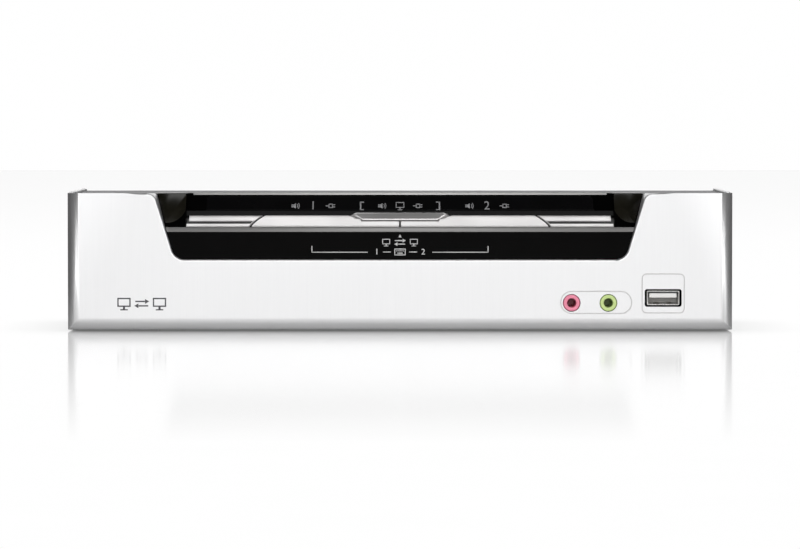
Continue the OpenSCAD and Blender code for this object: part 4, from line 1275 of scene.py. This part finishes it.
class KVM_OT_stage(bpy.types.Operator):
    """Set up the pale floor, the soft studio lights and the camera"""

    bl_idname = "kvm.stage"
    bl_label = "Studio stage"
    bl_options = {"REGISTER", "UNDO"}

    def execute(self, context):
        settings = context.scene.kvm.stage
        low, high = CAD_BOUNDS
        middle = (low + high) / 2
        stage_floor(settings)
        stage_backdrop()
        studio_room(settings)
        soft_light("key_light", (0.3, low.y - 2.9, 0.95), middle, (8.0, 1.6), settings.key_power)
        soft_light("nose_light", (0.0, low.y - 1.0, 1.25), middle, (2.2, 0.14), settings.nose_power)
        soft_light("rear_light", (0.0, high.y + 2.2, 0.8), middle, (1.6, 0.6), settings.rear_power)
        soft_light("deck_light", (0.0, high.y + 1.6, 2.0), middle, (2.4, 0.8), settings.deck_power)
        camera_data = bpy.data.cameras.new("camera")
        camera_data.lens = settings.lens
        camera_data.clip_end = 50.0
        camera = bpy.data.objects.new("camera", camera_data)
        camera.location = (0.0, low.y - settings.eye_distance, settings.eye_height)
        camera.rotation_euler = (math.pi / 2 - settings.tilt, 0.0, 0.0)
        context.scene.collection.objects.link(camera)
        context.scene.camera = camera
        context.scene.view_settings.view_transform = "Standard"
        return {"FINISHED"}


# ---------------------------------------------------------------- add-on

OPERATORS = (KVM_OT_stage, KVM_OT_front_panel, KVM_OT_case_panels, KVM_OT_control_fascia, KVM_OT_fascia_highlights_and_reliefs,
             KVM_OT_keys, KVM_OT_deck_marks, KVM_OT_face_mark, KVM_OT_front_sockets, KVM_OT_rear_sockets,
             KVM_OT_rear_marks, KVM_OT_inside)


class KVM_PT_panel(bpy.types.Panel):
    """Lists the pieces of the switch in the sidebar"""

    bl_label = "KVM Switch"
    bl_idname = "KVM_PT_panel"
    bl_space_type = "VIEW_3D"
    bl_region_type = "UI"
    bl_category = "KVM"

    def draw(self, context):
        for operator in OPERATORS:
            self.layout.operator(operator.bl_idname)


CLASSES = (KvmCaseSizes, KvmDeckSizes, KvmStageSettings, KvmSettings, *OPERATORS, KVM_PT_panel)


def register():
    for cls in CLASSES:
        bpy.utils.register_class(cls)
    bpy.types.Scene.kvm = PointerProperty(type=KvmSettings)


def unregister():
    del bpy.types.Scene.kvm
    for cls in reversed(CLASSES):
        bpy.utils.unregister_class(cls)


def main():
    register()
    bpy.ops.kvm.stage()
    bpy.ops.kvm.front_panel()
    bpy.ops.kvm.case_panels()
    bpy.ops.kvm.control_fascia()
    bpy.ops.kvm.fascia_trim()
    bpy.ops.kvm.keys()
    bpy.ops.kvm.deck_marks()
    bpy.ops.kvm.face_mark()
    bpy.ops.kvm.front_sockets()
    bpy.ops.kvm.rear_sockets()
    bpy.ops.kvm.rear_marks()
    bpy.ops.kvm.inside()


if __name__ == "__main__":
    main()
